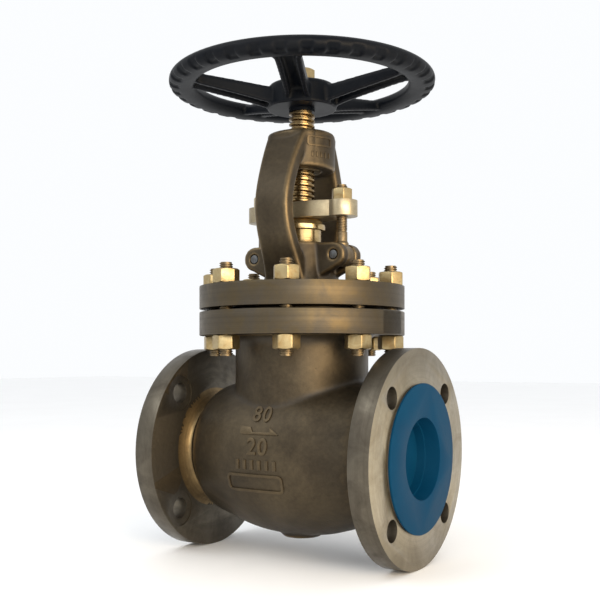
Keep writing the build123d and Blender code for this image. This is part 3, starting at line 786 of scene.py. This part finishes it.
class ValveLooks(bpy.types.PropertyGroup):
    """Colours of the valve's finishes."""
    patina_dark: colour("Dark patina", "Darkest brown of the castings", (0.042, 0.032, 0.02))
    patina_light: colour("Light patina", "Lighter olive brown of the castings", (0.078, 0.06, 0.036))
    # Bare bronze is golden wear on ridges and also the painted highlight on the pipe flanges' fillets.
    bare_bronze_and_highlight: colour("Bare bronze", "Golden metal on rubbed ridges", (0.26, 0.18, 0.085))
    dirt: colour("Dirt", "Dirt in the hollows of the castings", (0.018, 0.014, 0.01))
    rim_bronze: colour("Flange rim", "Turned rims of the pipe flanges", (0.12, 0.105, 0.08))
    rim_bronze_dull: colour("Flange rim, dull", "Tarnished patches of turned bronze",
                            (0.075, 0.064, 0.049))
    joint_bronze: colour("Bonnet joint", "Turned rims of the bonnet joint", (0.088, 0.066, 0.036))
    machined_bronze: colour("Machined face", "Freshly faced bronze", (0.4, 0.345, 0.245))
    machined_bronze_dull: colour("Machined face, dull", "Fingered patches of the faces",
                                 (0.28, 0.235, 0.16))
    plate_bronze: colour("Gland plate", "Milled plate over the gland", (0.43, 0.36, 0.23))
    gland_brass: colour("Gland", "Polished brass of the gland", (0.5, 0.375, 0.19))
    gland_brass_dull: colour("Gland, dull", "Tarnished brass of the gland", (0.42, 0.3, 0.14))
    stem_bronze: colour("Stem", "Bright bronze of the stem", (0.34, 0.235, 0.105))
    stem_bronze_dull: colour("Stem, dull", "Oiled bronze of the stem", (0.13, 0.09, 0.045))
    nut_brass: colour("Nuts", "Pale brass of the nuts", (0.4, 0.315, 0.165))
    nut_brass_dull: colour("Nuts, dull", "Yellowed brass of the nuts", (0.27, 0.175, 0.07))
    stud_bronze: colour("Studs", "Threads of studs and bolts", (0.2, 0.15, 0.085))
    stud_bronze_dull: colour("Studs, dull", "Dirty threads", (0.09, 0.065, 0.04))
    pin_metal: colour("Pins", "Ends of the swing bolts' pins", (0.12, 0.125, 0.13))
    pin_metal_dull: colour("Pins, dull", "Tarnished pin ends", (0.075, 0.07, 0.06))
    enamel: colour("Enamel", "Black of the handwheel", (0.002, 0.003, 0.005))
    enamel_worn: colour("Enamel, worn", "Greyer patches of the enamel", (0.005, 0.006, 0.008))
    enamel_edge: colour("Enamel edge", "Thin enamel on the edges", (0.012, 0.012, 0.014))
    wheel_dust: colour("Wheel dust", "Dust in the grip notches", (0.022, 0.021, 0.019))
    cap_blue: colour("Cap blue", "Blue of the flange caps", (0.001, 0.029, 0.07))
    cap_blue_faded: colour("Cap blue, faded", "Hazy blue of rubbed cap plastic", (0.002, 0.037, 0.084))


class ValveSizes(bpy.types.PropertyGroup):
    """Sizes of what the looks add to the frame."""
    body_voxel: length("Body grid", "Grid that rounds the body casting's joints", 1.8 * MM)
    yoke_voxel: length("Yoke grid", "Grid that rounds the yoke's joints", 1.15 * MM)
    wheel_voxel: length("Wheel grid", "Grid that rounds the handwheel's joints", 1.15 * MM)
    notch_count: IntProperty(name="Grip notches", description="Notches under the handwheel's rim",
                             default=35)
    stem_pitch: length("Stem pitch", "Rise of the stem's thread in a turn", 5.0 * MM)
    stud_pitch: length("Stud pitch", "Rise of the studs' thread in a turn", 1.95 * MM)
    bolt_pitch: length("Eyebolt pitch", "Rise of the eyebolts' thread in a turn", 1.5 * MM)
    mark_height: length("Raised marks", "How far the cast marks stand out", 1.1 * MM)


# ---------------------------------------------------------------- pieces

def body_skin(voxel):
    """Globe, necks and tower with their hollow, without the three flanges."""
    bm = welded_bmesh("valve_body")
    cut_away(bm, (NECK_CUT_X, 0, 0), (1, 0, 0))
    cut_away(bm, (-NECK_CUT_X, 0, 0), (-1, 0, 0))
    cut_away(bm, (0, 0, BODY_JOINT_Z - 0.06 * MM), (0, 0, 1))
    parts = [object_from_bmesh("body_skin", bm)]
    for side in (1, -1):
        parts.append(flange_stub(side, NECK_CUT_X - 3 * MM, NECK_CUT_X + 4.5 * MM))
    collar = lathe("stub", [(53 * MM, BODY_JOINT_Z + 1.0 * MM), (69 * MM, BODY_JOINT_Z + 1.0 * MM),
                            (69 * MM, BODY_JOINT_Z + 6 * MM), (53 * MM, BODY_JOINT_Z + 6 * MM)], 128)
    link = lathe("stub", [(53 * MM, BODY_JOINT_Z - 2 * MM), (61 * MM, BODY_JOINT_Z - 2 * MM),
                          (61 * MM, BODY_JOINT_Z + 3 * MM), (53 * MM, BODY_JOINT_Z + 3 * MM)], 128)
    skin = joined("body_skin", parts + [collar, link])
    return mark_relief(remeshed(skin, voxel, 10), 9.0 * MM)


def flange_stub(side, from_x, to_x):
    """Ring inside a pipe flange's fillet that the neck's cast skin runs into."""
    section = [(PORT_SKIN_R, from_x), (NECK_SKIN_R, from_x), (NECK_SKIN_R, to_x), (PORT_SKIN_R, to_x)]
    ring = lathe("stub", section, 128)
    turn = Matrix.Rotation(math.radians(90 * side), 4, "Y")
    ring.data.transform(Matrix.Translation((0, 0, PIPE_Z)) @ turn)
    return ring


def pipe_flange(side):
    """One pipe flange with its fillet, bolt holes and spot faces."""
    bm = welded_bmesh("valve_body")
    cut_away(bm, (side * NECK_CUT_X, 0, 0), (-side, 0, 0))
    flange = bevelled(object_from_bmesh("flange_part", bm), 0.7 * MM, 2, 30.0)
    back_x = END_X - 20.0 * MM
    flange.data.materials.append(FINISH["cast"])
    flange.data.materials.append(FINISH["rim"])
    flange.data.materials.append(FINISH["face"])
    flange.data.materials.append(FINISH["fillet"])
    for face in flange.data.polygons:
        radius = math.hypot(face.center.y, face.center.z - PIPE_Z)
        if face.normal.x * side > 0.7 and abs(face.center.x) > back_x + 4 * MM:
            face.material_index = 2
        elif radius > FLANGE_R - 0.9 * MM:
            face.material_index = 1
        elif abs(face.center.x) > back_x or radius < 40 * MM:
            face.material_index = 1
        # Painted highlight: the fillet faces take the golden fillet finish.
        elif radius < FILLET_R:
            face.material_index = 3
        else:
            face.material_index = 0
    return flange


def body_joint_flange():
    """The body's bonnet flange, from its underside to its face."""
    bm = welded_bmesh("valve_body")
    cut_away(bm, (0, 0, BODY_JOINT_Z - 0.06 * MM), (0, 0, -1))
    return joint_rim(bevelled(object_from_bmesh("joint_part", bm), 0.7 * MM, 2, 30.0))


def joint_rim(obj):
    """Cast on the flat sides, turned on the rim."""
    obj.data.materials.append(FINISH["cast"])
    obj.data.materials.append(FINISH["joint"])
    for face in obj.data.polygons:
        radius = math.hypot(face.center.x, face.center.y)
        turned = radius > JOINT_R - 0.9 * MM or radius < 62.5 * MM
        face.material_index = 1 if turned and abs(face.normal.z) < 0.9 or radius > JOINT_R - 0.3 * MM else 0
    return obj


def front_ray(x, z):
    """From the front straight back, for marks on the globe."""
    return Vector((x, -0.2, z)), Vector((0, 1, 0))


def hub_ray(along, z):
    """Towards the stem axis, for marks round the yoke hub."""
    angle = math.radians(-25) + along / (30.8 * MM)
    way = Vector((math.cos(angle), math.sin(angle), 0))
    return way * 0.2 + Vector((0, 0, z)), -way


def sliced(faces, verts, step):
    """The same flat shape cut by upright lines, so that it can bend."""
    bm = bmesh.new()
    points = [bm.verts.new((x, z, 0)) for x, z in verts]
    for face in faces:
        bm.faces.new([points[k] for k in face])
    low = min(x for x, z in verts)
    high = max(x for x, z in verts)
    for k in range(1, int((high - low) / step) + 1):
        everything = list(bm.verts) + list(bm.edges) + list(bm.faces)
        bmesh.ops.bisect_plane(bm, geom=everything, plane_co=(low + k * step, 0, 0),
                               plane_no=(1, 0, 0), dist=1e-6)
    bmesh.ops.triangulate(bm, faces=bm.faces)
    bm.verts.index_update()
    found = [[vertex.index for vertex in face.verts] for face in bm.faces]
    places = [(vertex.co.x, vertex.co.y) for vertex in bm.verts]
    bm.free()
    return found, places


def raised_mark(name, outline_faces, outline, surface, aim, height, sink):
    """Thickens a flat shape into a mark that follows the casting's surface."""
    faces, verts = sliced(outline_faces, outline, 2.5 * MM)
    bm = bmesh.new()
    front = []
    back = []
    for x, z in verts:
        place, normal = surface.ray_cast(*aim(x, z))[:2]
        front.append(bm.verts.new(place + normal * height))
        back.append(bm.verts.new(place - normal * sink))
    rim = {}
    for face in faces:
        bm.faces.new([front[k] for k in face])
        bm.faces.new([back[k] for k in reversed(face)])
        for a, b in zip(face, face[1:] + face[:1]):
            if (b, a) in rim:
                del rim[(b, a)]
            else:
                rim[(a, b)] = True
    for a, b in rim:
        bm.faces.new((front[b], front[a], back[a], back[b]))
    bmesh.ops.recalc_face_normals(bm, faces=bm.faces)
    bmesh.ops.dissolve_limit(bm, angle_limit=math.radians(0.4), verts=bm.verts, edges=bm.edges)
    mark = bevelled(object_from_bmesh(name, bm), 0.38 * MM, 2, 40.0)
    mark.data.materials.append(FINISH["cast"])
    relief = mark.data.attributes.new("relief", "FLOAT", "POINT")
    relief.data.foreach_set("value", np.full(len(mark.data.vertices), 0.3, np.float32))
    return mark


def flat_text(text, size, x, z):
    """Flat (x, z) shapes of numerals, in the font's own faces."""
    curve = bpy.data.curves.new("numerals", "FONT")
    curve.body = text
    curve.size = size
    curve.align_x = "CENTER"
    curve.align_y = "CENTER"
    curve.offset = size * 0.018
    curve.space_character = 1.12
    curve.resolution_u = 4
    obj = add_object("numerals", curve)
    graph = bpy.context.evaluated_depsgraph_get()
    mesh = bpy.data.meshes.new_from_object(obj.evaluated_get(graph))
    bpy.data.objects.remove(obj)
    verts = [(vertex.co.x + x, vertex.co.y + z) for vertex in mesh.vertices]
    faces = [list(face.vertices) for face in mesh.polygons]
    return faces, verts


def outline_shape(points, x, z):
    """A single flat face from (x, z) points."""
    return [list(range(len(points)))], [(px + x, pz + z) for px, pz in points]


def frame_shape(width, height, thick, x, z, radius, arc=5):
    """A flat rounded frame, as a band of quads."""
    corners = ((1, 1, 0), (-1, 1, 90), (-1, -1, 180), (1, -1, 270))
    outer = []
    inner = []
    for sx, sz, start in corners:
        for k in range(arc + 1):
            angle = math.radians(start + 90 * k / arc)
            middle_x = x + sx * (width / 2 - radius)
            middle_z = z + sz * (height / 2 - radius)
            outer.append((middle_x + radius * math.cos(angle), middle_z + radius * math.sin(angle)))
            small = radius - thick
            inner.append((middle_x + small * math.cos(angle), middle_z + small * math.sin(angle)))
    count = len(outer)
    faces = []
    for k in range(count):
        after = (k + 1) % count
        faces.append([k, after, count + after, count + k])
    return faces, outer + inner


def bar_row(count, width, height, pitch, x, z):
    """A row of short upright bars, each a flat shape."""
    bars = []
    for k in range(count):
        middle = x + (k - (count - 1) / 2) * pitch
        half = width / 2
        corners = [(-half, -height / 2), (half, -height / 2), (half, height / 2), (-half, height / 2)]
        bars.append(outline_shape(corners, middle, z))
    return bars


def cast_marks(surface, height):
    """Size, flow arrow, pressure class, a row of bars and a blank frame on the globe's front."""
    sink = 1.2 * MM
    arrow = [(-20, 3.4), (-8, 2.6), (-5.5, -1.6), (12, -1.4), (11, 3.0), (21, -3.6), (-18, -3.6)]
    arrow = [(px * MM, pz * MM) for px, pz in arrow]
    shapes = [flat_text("80", 18 * MM, 0.5 * MM, PIPE_Z + 37.0 * MM),
              outline_shape(arrow, 0.0, PIPE_Z + 24.0 * MM),
              flat_text("20", 20 * MM, 0.5 * MM, PIPE_Z + 9.5 * MM),
              frame_shape(58 * MM, 16 * MM, 2.4 * MM, -4 * MM, PIPE_Z - 21.5 * MM, 4.5 * MM)]
    shapes += bar_row(6, 3.4 * MM, 8.5 * MM, 7.6 * MM, -1.0 * MM, PIPE_Z - 5.5 * MM)
    return [raised_mark("mark_%d" % k, shape[0], shape[1], surface, front_ray, height, sink)
            for k, shape in enumerate(shapes)]


def hub_marks(surface, height):
    """A blank frame over a row of short bars on the yoke hub."""
    hub_z = BONNET_HIGH.z
    shapes = [frame_shape(27 * MM, 9.5 * MM, 1.7 * MM, 0.0, hub_z - 11.5 * MM, 2.6 * MM)]
    shapes += bar_row(5, 1.8 * MM, 5.0 * MM, 4.6 * MM, 1.0 * MM, hub_z - 23.5 * MM)
    return [raised_mark("hub_mark_%d" % k, shape[0], shape[1], surface, hub_ray, height, 0.8 * MM)
            for k, shape in enumerate(shapes)]


def surface_tree(obj):
    bm = bmesh.new()
    bm.from_mesh(obj.data)
    tree = BVHTree.FromBMesh(bm)
    bm.free()
    return tree


class GLOBE_VALVE_OT_body(bpy.types.Operator):
    """Body casting: globe and tower with cast fillets, three crisp flanges, raised marks"""
    bl_idname = "globe_valve.body"
    bl_label = "Body Casting"

    def execute(self, context):
        sizes = context.scene.valve_sizes
        skin = body_skin(sizes.body_voxel)
        skin.data.materials.append(FINISH["cast"])
        surface = surface_tree(skin)
        parts = [skin, pipe_flange(1), pipe_flange(-1), body_joint_flange()]
        parts += cast_marks(surface, sizes.mark_height)
        body = joined("body_casting", parts)
        finish_piece(body, "valve", ["valve_body"], "bronze_casting")
        return {"FINISHED"}


def yoke_skin(voxel):
    """Stuffing box, ears, arms and yoke hub, without the bonnet flange."""
    bm = welded_bmesh("bonnet")
    cut_away(bm, (0, 0, BONNET_TOP_Z + 0.06 * MM), (0, 0, -1))
    skin = remeshed(object_from_bmesh("yoke_skin", bm), voxel, 8)
    for vertex in skin.data.vertices:
        on_arm = min(max((abs(vertex.co.y) - 18 * MM) / (8 * MM), 0.0), 1.0)
        end = min(abs(vertex.co.z - ARM_MIDDLE_Z) / (60 * MM), 1.1)
        vertex.co.x *= 1 + 0.15 * on_arm * end ** 2.5
        if vertex.co.z < BONNET_TOP_Z + 1.0 * MM:
            vertex.co.z = BONNET_TOP_Z - 1.0 * MM
        across = abs(vertex.co.x) - EYEBOLT_X
        up = vertex.co.z - PIN_Z
        gap = math.hypot(across, up)
        if gap < 4.9 * MM:
            grow = 4.55 * MM / max(gap, 1e-6)
            vertex.co.x = math.copysign(EYEBOLT_X + across * grow, vertex.co.x)
            vertex.co.z = PIN_Z + up * grow
    return mark_relief(skin, 4.0 * MM)


class GLOBE_VALVE_OT_bonnet(bpy.types.Operator):
    """Bonnet casting with its yoke: soft cast arms on a crisp flange"""
    bl_idname = "globe_valve.bonnet"
    bl_label = "Bonnet and Yoke"

    def execute(self, context):
        sizes = context.scene.valve_sizes
        skin = yoke_skin(sizes.yoke_voxel)
        skin.data.materials.append(FINISH["cast"])
        bm = welded_bmesh("bonnet")
        cut_away(bm, (0, 0, BONNET_TOP_Z + 0.06 * MM), (0, 0, 1))
        flange = joint_rim(bevelled(object_from_bmesh("flange_part", bm), 0.7 * MM, 2, 30.0))
        marks = hub_marks(surface_tree(skin), 0.7 * MM)
        bonnet = joined("bonnet_casting", [skin, flange] + marks)
        finish_piece(bonnet, "valve", ["bonnet"], "bronze_casting")
        return {"FINISHED"}


def wheel_rim(count):
    """Oval rim with grip notches cut into its lower outer edge."""
    middle_r = WHEEL_HIGH.x - RIM_HALF_WIDTH
    middle_z = WHEEL_HIGH.z - RIM_HALF_HEIGHT
    per_notch = 24
    around = count * per_notch
    across = 40
    squareness = 0.82
    bm = bmesh.new()
    rings = []
    for i in range(around):
        angle = 2 * math.pi * i / around
        share = (i % per_notch) / per_notch
        inside = min(max((0.235 - abs(share - 0.5)) / 0.035, 0.0), 1.0)
        ring = []
        for j in range(across):
            turn = 2 * math.pi * j / across
            out = math.cos(turn)
            up = math.sin(turn)
            radial = RIM_HALF_WIDTH * math.copysign(abs(out) ** squareness, out)
            rise = RIM_HALF_HEIGHT * math.copysign(abs(up) ** squareness, up)
            aim = math.cos(turn - math.radians(-42))
            depth = 1.7 * MM * inside * min(max((aim - 0.80) / 0.06, 0.0), 1.0)
            length = math.hypot(radial, rise)
            shrink = 1 - depth / max(length, 1e-6)
            radius = middle_r + radial * shrink
            place = (radius * math.cos(angle), radius * math.sin(angle), middle_z + rise * shrink)
            ring.append(bm.verts.new(place))
        rings.append(ring)
    for i in range(around):
        here, there = rings[i], rings[(i + 1) % around]
        for j in range(across):
            after = (j + 1) % across
            bm.faces.new((here[j], there[j], there[after], here[after]))
    bmesh.ops.recalc_face_normals(bm, faces=bm.faces)
    return object_from_bmesh("rim", bm)


def wheel_spoke(angle):
    """Channel spoke, open underneath, from hub to rim."""
    hub_r = 26 * MM
    rim_r = WHEEL_HIGH.x - 16 * MM
    low = WHEEL_LOW.z
    rim_z = WHEEL_HIGH.z - RIM_HALF_HEIGHT
    stations = 14
    bm = bmesh.new()
    rings = []
    for i in range(stations):
        share = i / (stations - 1)
        x = hub_r + (rim_r - hub_r) * share
        flare = max(0.0, (share - 0.8) / 0.2) ** 2 * 5 * MM + max(0.0, (0.18 - share) / 0.18) ** 2 * 3 * MM
        half = 10.6 * MM + flare + 0.6 * MM * share
        top = low + 16.6 * MM + (rim_z + 4.6 * MM - low - 16.6 * MM) * share ** 0.9
        deep = 15.6 * MM + (9.0 * MM - 15.6 * MM) * share ** 0.8
        web = 5.5 * MM
        rib = 4.2 * MM + 1.2 * MM * share
        right = [(half - 1.5 * MM, top), (half, top - 2.5 * MM), (half, top - deep),
                 (half - rib, top - deep), (half - rib - 0.8 * MM, top - web)]
        left = [(-y, z) for y, z in reversed(right)]
        rings.append([bm.verts.new((x, y, z)) for y, z in right + left])
    for here, there in zip(rings, rings[1:]):
        for j in range(len(here)):
            after = (j + 1) % len(here)
            bm.faces.new((here[j], here[after], there[after], there[j]))
    bm.faces.new(rings[0])
    bm.faces.new(list(reversed(rings[-1])))
    bmesh.ops.recalc_face_normals(bm, faces=bm.faces)
    bmesh.ops.rotate(bm, verts=bm.verts, cent=(0, 0, 0), matrix=Matrix.Rotation(angle, 3, "Z"))
    return object_from_bmesh("spoke", bm)


class GLOBE_VALVE_OT_handwheel(bpy.types.Operator):
    """Handwheel: notched oval rim, channel spokes and hub run together like a casting"""
    bl_idname = "globe_valve.handwheel"
    bl_label = "Handwheel"

    def execute(self, context):
        sizes = context.scene.valve_sizes
        low = WHEEL_LOW.z
        hub_top = low + 22.0 * MM
        hub_seat = low + 18.2 * MM
        section = [(0, low), (32.3 * MM, low), (31.4 * MM, low + 19.5 * MM), (29.2 * MM, hub_top),
                   (15.0 * MM, hub_top), (14.5 * MM, hub_seat), (0, hub_seat)]
        hub = lathe("hub", section, 96)
        pace = 2 * math.pi / SPOKE_COUNT
        spokes = [wheel_spoke(FIRST_SPOKE_TURN + pace * k) for k in range(SPOKE_COUNT)]
        wheel = joined("handwheel_casting", [wheel_rim(sizes.notch_count), hub] + spokes)
        remeshed(wheel, sizes.wheel_voxel, 2)
        for vertex in wheel.data.vertices:
            if vertex.co.z < low + 0.9 * MM and math.hypot(vertex.co.x, vertex.co.y) < 31.2 * MM:
                vertex.co.z = low
        mark_relief(wheel, 4.0 * MM)
        finish_piece(wheel, "stem", ["handwheel"], "wheel_paint", FINISH["enamel"])
        nut_low, nut_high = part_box("handwheel_nut")
        height = nut_high.z - nut_low.z
        nut = hex_nut("wheel_nut", 21.6 * MM, height, 7.0 * MM, bottom=False, edge=0.5 * MM)
        turn = Matrix.Rotation(math.radians(14), 4, "Z")
        nut.data.transform(Matrix.Translation((0, 0, nut_low.z)) @ turn)
        finish_piece(nut, "stem", ["handwheel_nut"], "brass_fastener", FINISH["nut"])
        return {"FINISHED"}


class GLOBE_VALVE_OT_stem(bpy.types.Operator):
    """Stem: turned shank, trapezoidal thread through the yoke, square under the wheel"""
    bl_idname = "globe_valve.stem"
    bl_label = "Stem"

    def execute(self, context):
        sizes = context.scene.valve_sizes
        thread_low = PLATE_LOW.z - 6 * MM
        thread_high = WHEEL_LOW.z - 0.5 * MM
        bm = welded_bmesh("stem")
        cut_away(bm, (0, 0, thread_low + 0.5 * MM), (0, 0, 1))
        shank = shaded(object_from_bmesh("shank", bm), 30.0)
        bm = welded_bmesh("stem")
        cut_away(bm, (0, 0, thread_high - 2.2 * MM), (0, 0, -1))
        cut_away(bm, (0, 0, WHEEL_LOW.z + 1.0 * MM), (0, 0, 1))
        collar = shaded(object_from_bmesh("collar", bm), 30.0)
        bm = welded_bmesh("stem")
        cut_away(bm, (0, 0, WHEEL_LOW.z + 0.5 * MM), (0, 0, -1))
        head = shaded(object_from_bmesh("head", bm), 30.0)
        # The collar just under the wheel takes the wheel's black enamel, so the stem is dark there.
        for part, finish in ((shank, "stem"), (collar, "enamel"), (head, "stem")):
            part.data.materials.clear()
            part.data.materials.append(FINISH[finish])
        thread = threaded_rod("thread", FINISH["stem"], STEM_R - 0.02 * MM, 2.5 * MM, sizes.stem_pitch,
                              thread_low, thread_high, 56)
        stem = joined("stem_screw", [thread, shank, collar, head])
        finish_piece(stem, "stem", ["stem"], "stem_bronze")
        return {"FINISHED"}


class GLOBE_VALVE_OT_joint_fasteners(bpy.types.Operator):
    """Studs and hexagon nuts round the bonnet joint"""
    bl_idname = "globe_valve.joint_fasteners"
    bl_label = "Studs and Nuts"

    def execute(self, context):
        sizes = context.scene.valve_sizes
        stud = threaded_rod("stud", FINISH["stud"], STUD_R - 0.02 * MM, 1.05 * MM, sizes.stud_pitch,
                            0.0, STUDS_HIGH.z - STUDS_LOW.z, 20)
        ring = ring_tree_once()
        studs = grown("joint_studs", stud_places(), ring, Fastener=stud, Height=STUDS_LOW.z,
                      Material=FINISH["stud"])
        finish_piece(shaded(studs, 35.0), "valve", ["bonnet_studs"], "stud_bronze")
        nut = hex_nut("nut", JOINT_NUT_FLATS, NUTS_HIGH.z - NUTS_LOW.z, STUD_R)
        upper = grown("upper_nuts", stud_places(UPPER_NUT_TURNS), ring, Fastener=nut, Height=NUTS_LOW.z,
                      Material=FINISH["nut"])
        finish_piece(shaded(upper, 35.0), "valve", ["bonnet_nuts_upper"], "brass_fastener")
        lower = grown("lower_nuts", stud_places(LOWER_NUT_TURNS), ring, Fastener=nut, Height=LOW_NUTS_LOW.z,
                      Material=FINISH["nut"])
        finish_piece(shaded(lower, 35.0), "valve", ["bonnet_nuts_lower"], "brass_fastener")
        for tool in (stud, nut):
            bpy.data.objects.remove(tool)
        return {"FINISHED"}


def dressed_copy(node, name, body, slot, finish, width, angle=28.0):
    """A CAD node's welded copy with broken edges and its finish."""
    piece = bevelled(object_from_bmesh(name, welded_bmesh(node)), width, 2, angle)
    return finish_piece(piece, body, [node], slot, FINISH[finish])


class GLOBE_VALVE_OT_gland(bpy.types.Operator):
    """Gland, its plate, swing bolts, pins and nuts"""
    bl_idname = "globe_valve.gland"
    bl_label = "Gland Set"

    def execute(self, context):
        sizes = context.scene.valve_sizes
        dressed_copy("gland", "gland_sleeve", "gland", "gland_brass", "gland", 0.3 * MM)
        dressed_copy("gland_flange", "gland_plate", "gland", "flange_bronze", "plate", 0.8 * MM)
        for side, name in ((1, "right"), (-1, "left")):
            dressed_copy("eyebolt_pin_" + name, "pin_" + name, "valve", "pin_metal", "pin", 0.5 * MM)
            bolt_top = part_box("eyebolt_" + name)[1].z
            shank_top = PLATE_LOW.z - 14 * MM
            bm = welded_bmesh("eyebolt_" + name)
            cut_away(bm, (0, 0, shank_top), (0, 0, 1))
            eye = bevelled(object_from_bmesh("eye", bm), 0.5 * MM, 2, 30.0)
            eye.data.materials.clear()
            eye.data.materials.append(FINISH["stud"])
            thread = threaded_rod("thread", FINISH["stud"], BOLT_THREAD_R, 0.85 * MM, sizes.bolt_pitch,
                                  shank_top - 0.2 * MM, bolt_top, 24)
            thread.data.transform(Matrix.Translation((EYEBOLT_X * side, 0, 0)))
            bolt = joined("swing_bolt_" + name, [thread, eye])
            finish_piece(bolt, "valve", ["eyebolt_" + name], "stud_bronze")
            nut_low, nut_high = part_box("gland_nut_" + name)
            nut = hex_nut("gland_hex_" + name, 17 * MM, nut_high.z - nut_low.z, 5.06 * MM)
            turn = Matrix.Rotation(math.radians(8 if side > 0 else 22), 4, "Z")
            nut.data.transform(Matrix.Translation((EYEBOLT_X * side, 0, nut_low.z)) @ turn)
            finish_piece(nut, "gland_nut_" + name, ["gland_nut_" + name], "brass_fastener", FINISH["nut"])
        return {"FINISHED"}


class GLOBE_VALVE_OT_caps(bpy.types.Operator):
    """Blue push-in caps in both pipe flanges"""
    bl_idname = "globe_valve.caps"
    bl_label = "Flange Caps"

    def execute(self, context):
        for side in ("inlet", "outlet"):
            cap = side + "_cap"
            dressed_copy(cap, cap + "_moulding", cap, "cap_plastic", "cap", 0.6 * MM)
        return {"FINISHED"}


class GLOBE_VALVE_OT_inner_finishes(bpy.types.Operator):
    """Finishes of the pieces inside the valve and of the yoke bushing"""
    bl_idname = "globe_valve.inner_finishes"
    bl_label = "Inner Finishes"

    def execute(self, context):
        turned = ("seat_ring", "disc", "disc_nut", "disc_lock_pin", "backseat_bushing", "yoke_bushing",
                  "yoke_bushing_screw")
        uses = {"inner": turned, "packing": ("packing_rings",), "gasket": ("bonnet_gasket",)}
        for finish, nodes in uses.items():
            for node in nodes:
                mesh = frame["nodes"][node].data
                mesh.materials.clear()
                mesh.materials.append(FINISH[finish])
        return {"FINISHED"}


# ---------------------------------------------------------------- stage

def area_light(name, place, aim, width, height, power, colour):
    light = bpy.data.lights.new(name, "AREA")
    light.shape = "RECTANGLE"
    light.size = width
    light.size_y = height
    light.energy = power
    light.color = colour
    obj = bpy.data.objects.new(name, light)
    obj.location = place
    obj.rotation_euler = (Vector(aim) - Vector(place)).to_track_quat("-Z", "Y").to_euler()
    bpy.context.scene.collection.objects.link(obj)


def pale_floor():
    """Broad pale floor with a barely visible grain."""
    bm = bmesh.new()
    bmesh.ops.create_grid(bm, x_segments=8, y_segments=8, size=6.0)
    floor = object_from_bmesh("floor", bm)
    material, tree, shader, place = start_material("pale_floor")
    tone = ramp(tree, noise_at(tree, place, 5.0, 3.0), 0.3, 0.7, 0.93, 0.95)
    colour = put(tree, "ShaderNodeCombineColor", {"Red": tone, "Green": tone, "Blue": tone})
    tree.links.new(colour.outputs[0], shader.inputs["Base Color"])
    rough = ramp(tree, noise_at(tree, place, 30.0, 3.0), 0.3, 0.7, 0.6, 0.75)
    tree.links.new(rough, shader.inputs["Roughness"])
    floor.data.materials.append(material)


class GLOBE_VALVE_OT_stage(bpy.types.Operator):
    """Pale floor, soft studio light and the camera"""
    bl_idname = "globe_valve.stage"
    bl_label = "Stage"

    def execute(self, context):
        pale_floor()
        world = bpy.data.worlds.new("studio")
        world.use_nodes = True
        background = world.node_tree.nodes["Background"]
        background.inputs["Color"].default_value = (0.97, 0.985, 1.0, 1.0)
        background.inputs["Strength"].default_value = 1.0
        context.scene.world = world
        aim = (0.0, 0.0, 0.22)
        area_light("sky_left", (-0.7, -1.2, 1.5), aim, 1.0, 1.0, 9.0, (0.95, 0.98, 1.0))
        area_light("sky_right", (1.05, -1.45, 0.75), aim, 0.9, 0.9, 9.0, (0.97, 0.99, 1.0))
        area_light("glow_right", (1.526, -0.711, 0.457), aim, 1.3, 0.85, 31.0, (1.0, 0.78, 0.5))
        lens = bpy.data.cameras.new("camera")
        lens.sensor_width = 36.0
        lens.lens = 55.72
        lens.shift_x = 0.012
        lens.shift_y = 0.0874
        lens.clip_start = 0.01
        camera = bpy.data.objects.new("camera", lens)
        camera.location = (0.4524, -0.73369, PIPE_Z + 0.08667)
        camera.rotation_euler = (math.radians(90 + 0.335), 0.0, math.radians(32.22))
        context.scene.collection.objects.link(camera)
        context.scene.camera = camera
        context.scene.view_settings.view_transform = "Standard"
        return {"FINISHED"}


STEPS = (GLOBE_VALVE_OT_body, GLOBE_VALVE_OT_bonnet, GLOBE_VALVE_OT_handwheel, GLOBE_VALVE_OT_stem,
         GLOBE_VALVE_OT_joint_fasteners, GLOBE_VALVE_OT_gland, GLOBE_VALVE_OT_caps,
         GLOBE_VALVE_OT_inner_finishes, GLOBE_VALVE_OT_stage)


class GLOBE_VALVE_PT_panel(bpy.types.Panel):
    """Lists the valve's steps and settings"""
    bl_label = "Globe Valve"
    bl_idname = "GLOBE_VALVE_PT_panel"
    bl_space_type = "VIEW_3D"
    bl_region_type = "UI"
    bl_category = "Globe Valve"

    def draw(self, context):
        for step in STEPS:
            self.layout.operator(step.bl_idname)
        for group in (context.scene.valve_sizes, context.scene.valve_looks):
            for name in group.__annotations__:
                self.layout.prop(group, name)


CLASSES = (ValveLooks, ValveSizes) + STEPS + (GLOBE_VALVE_PT_panel,)


def register():
    for item in CLASSES:
        bpy.utils.register_class(item)
    bpy.types.Scene.valve_looks = PointerProperty(type=ValveLooks)
    bpy.types.Scene.valve_sizes = PointerProperty(type=ValveSizes)


def unregister():
    del bpy.types.Scene.valve_looks
    del bpy.types.Scene.valve_sizes
    for item in reversed(CLASSES):
        bpy.utils.unregister_class(item)


def main():
    register()
    FINISH.update(make_finishes(bpy.context.scene.valve_looks))
    for step in STEPS:
        area, name = step.bl_idname.split(".")
        getattr(getattr(bpy.ops, area), name)()


if __name__ == "__main__":
    main()
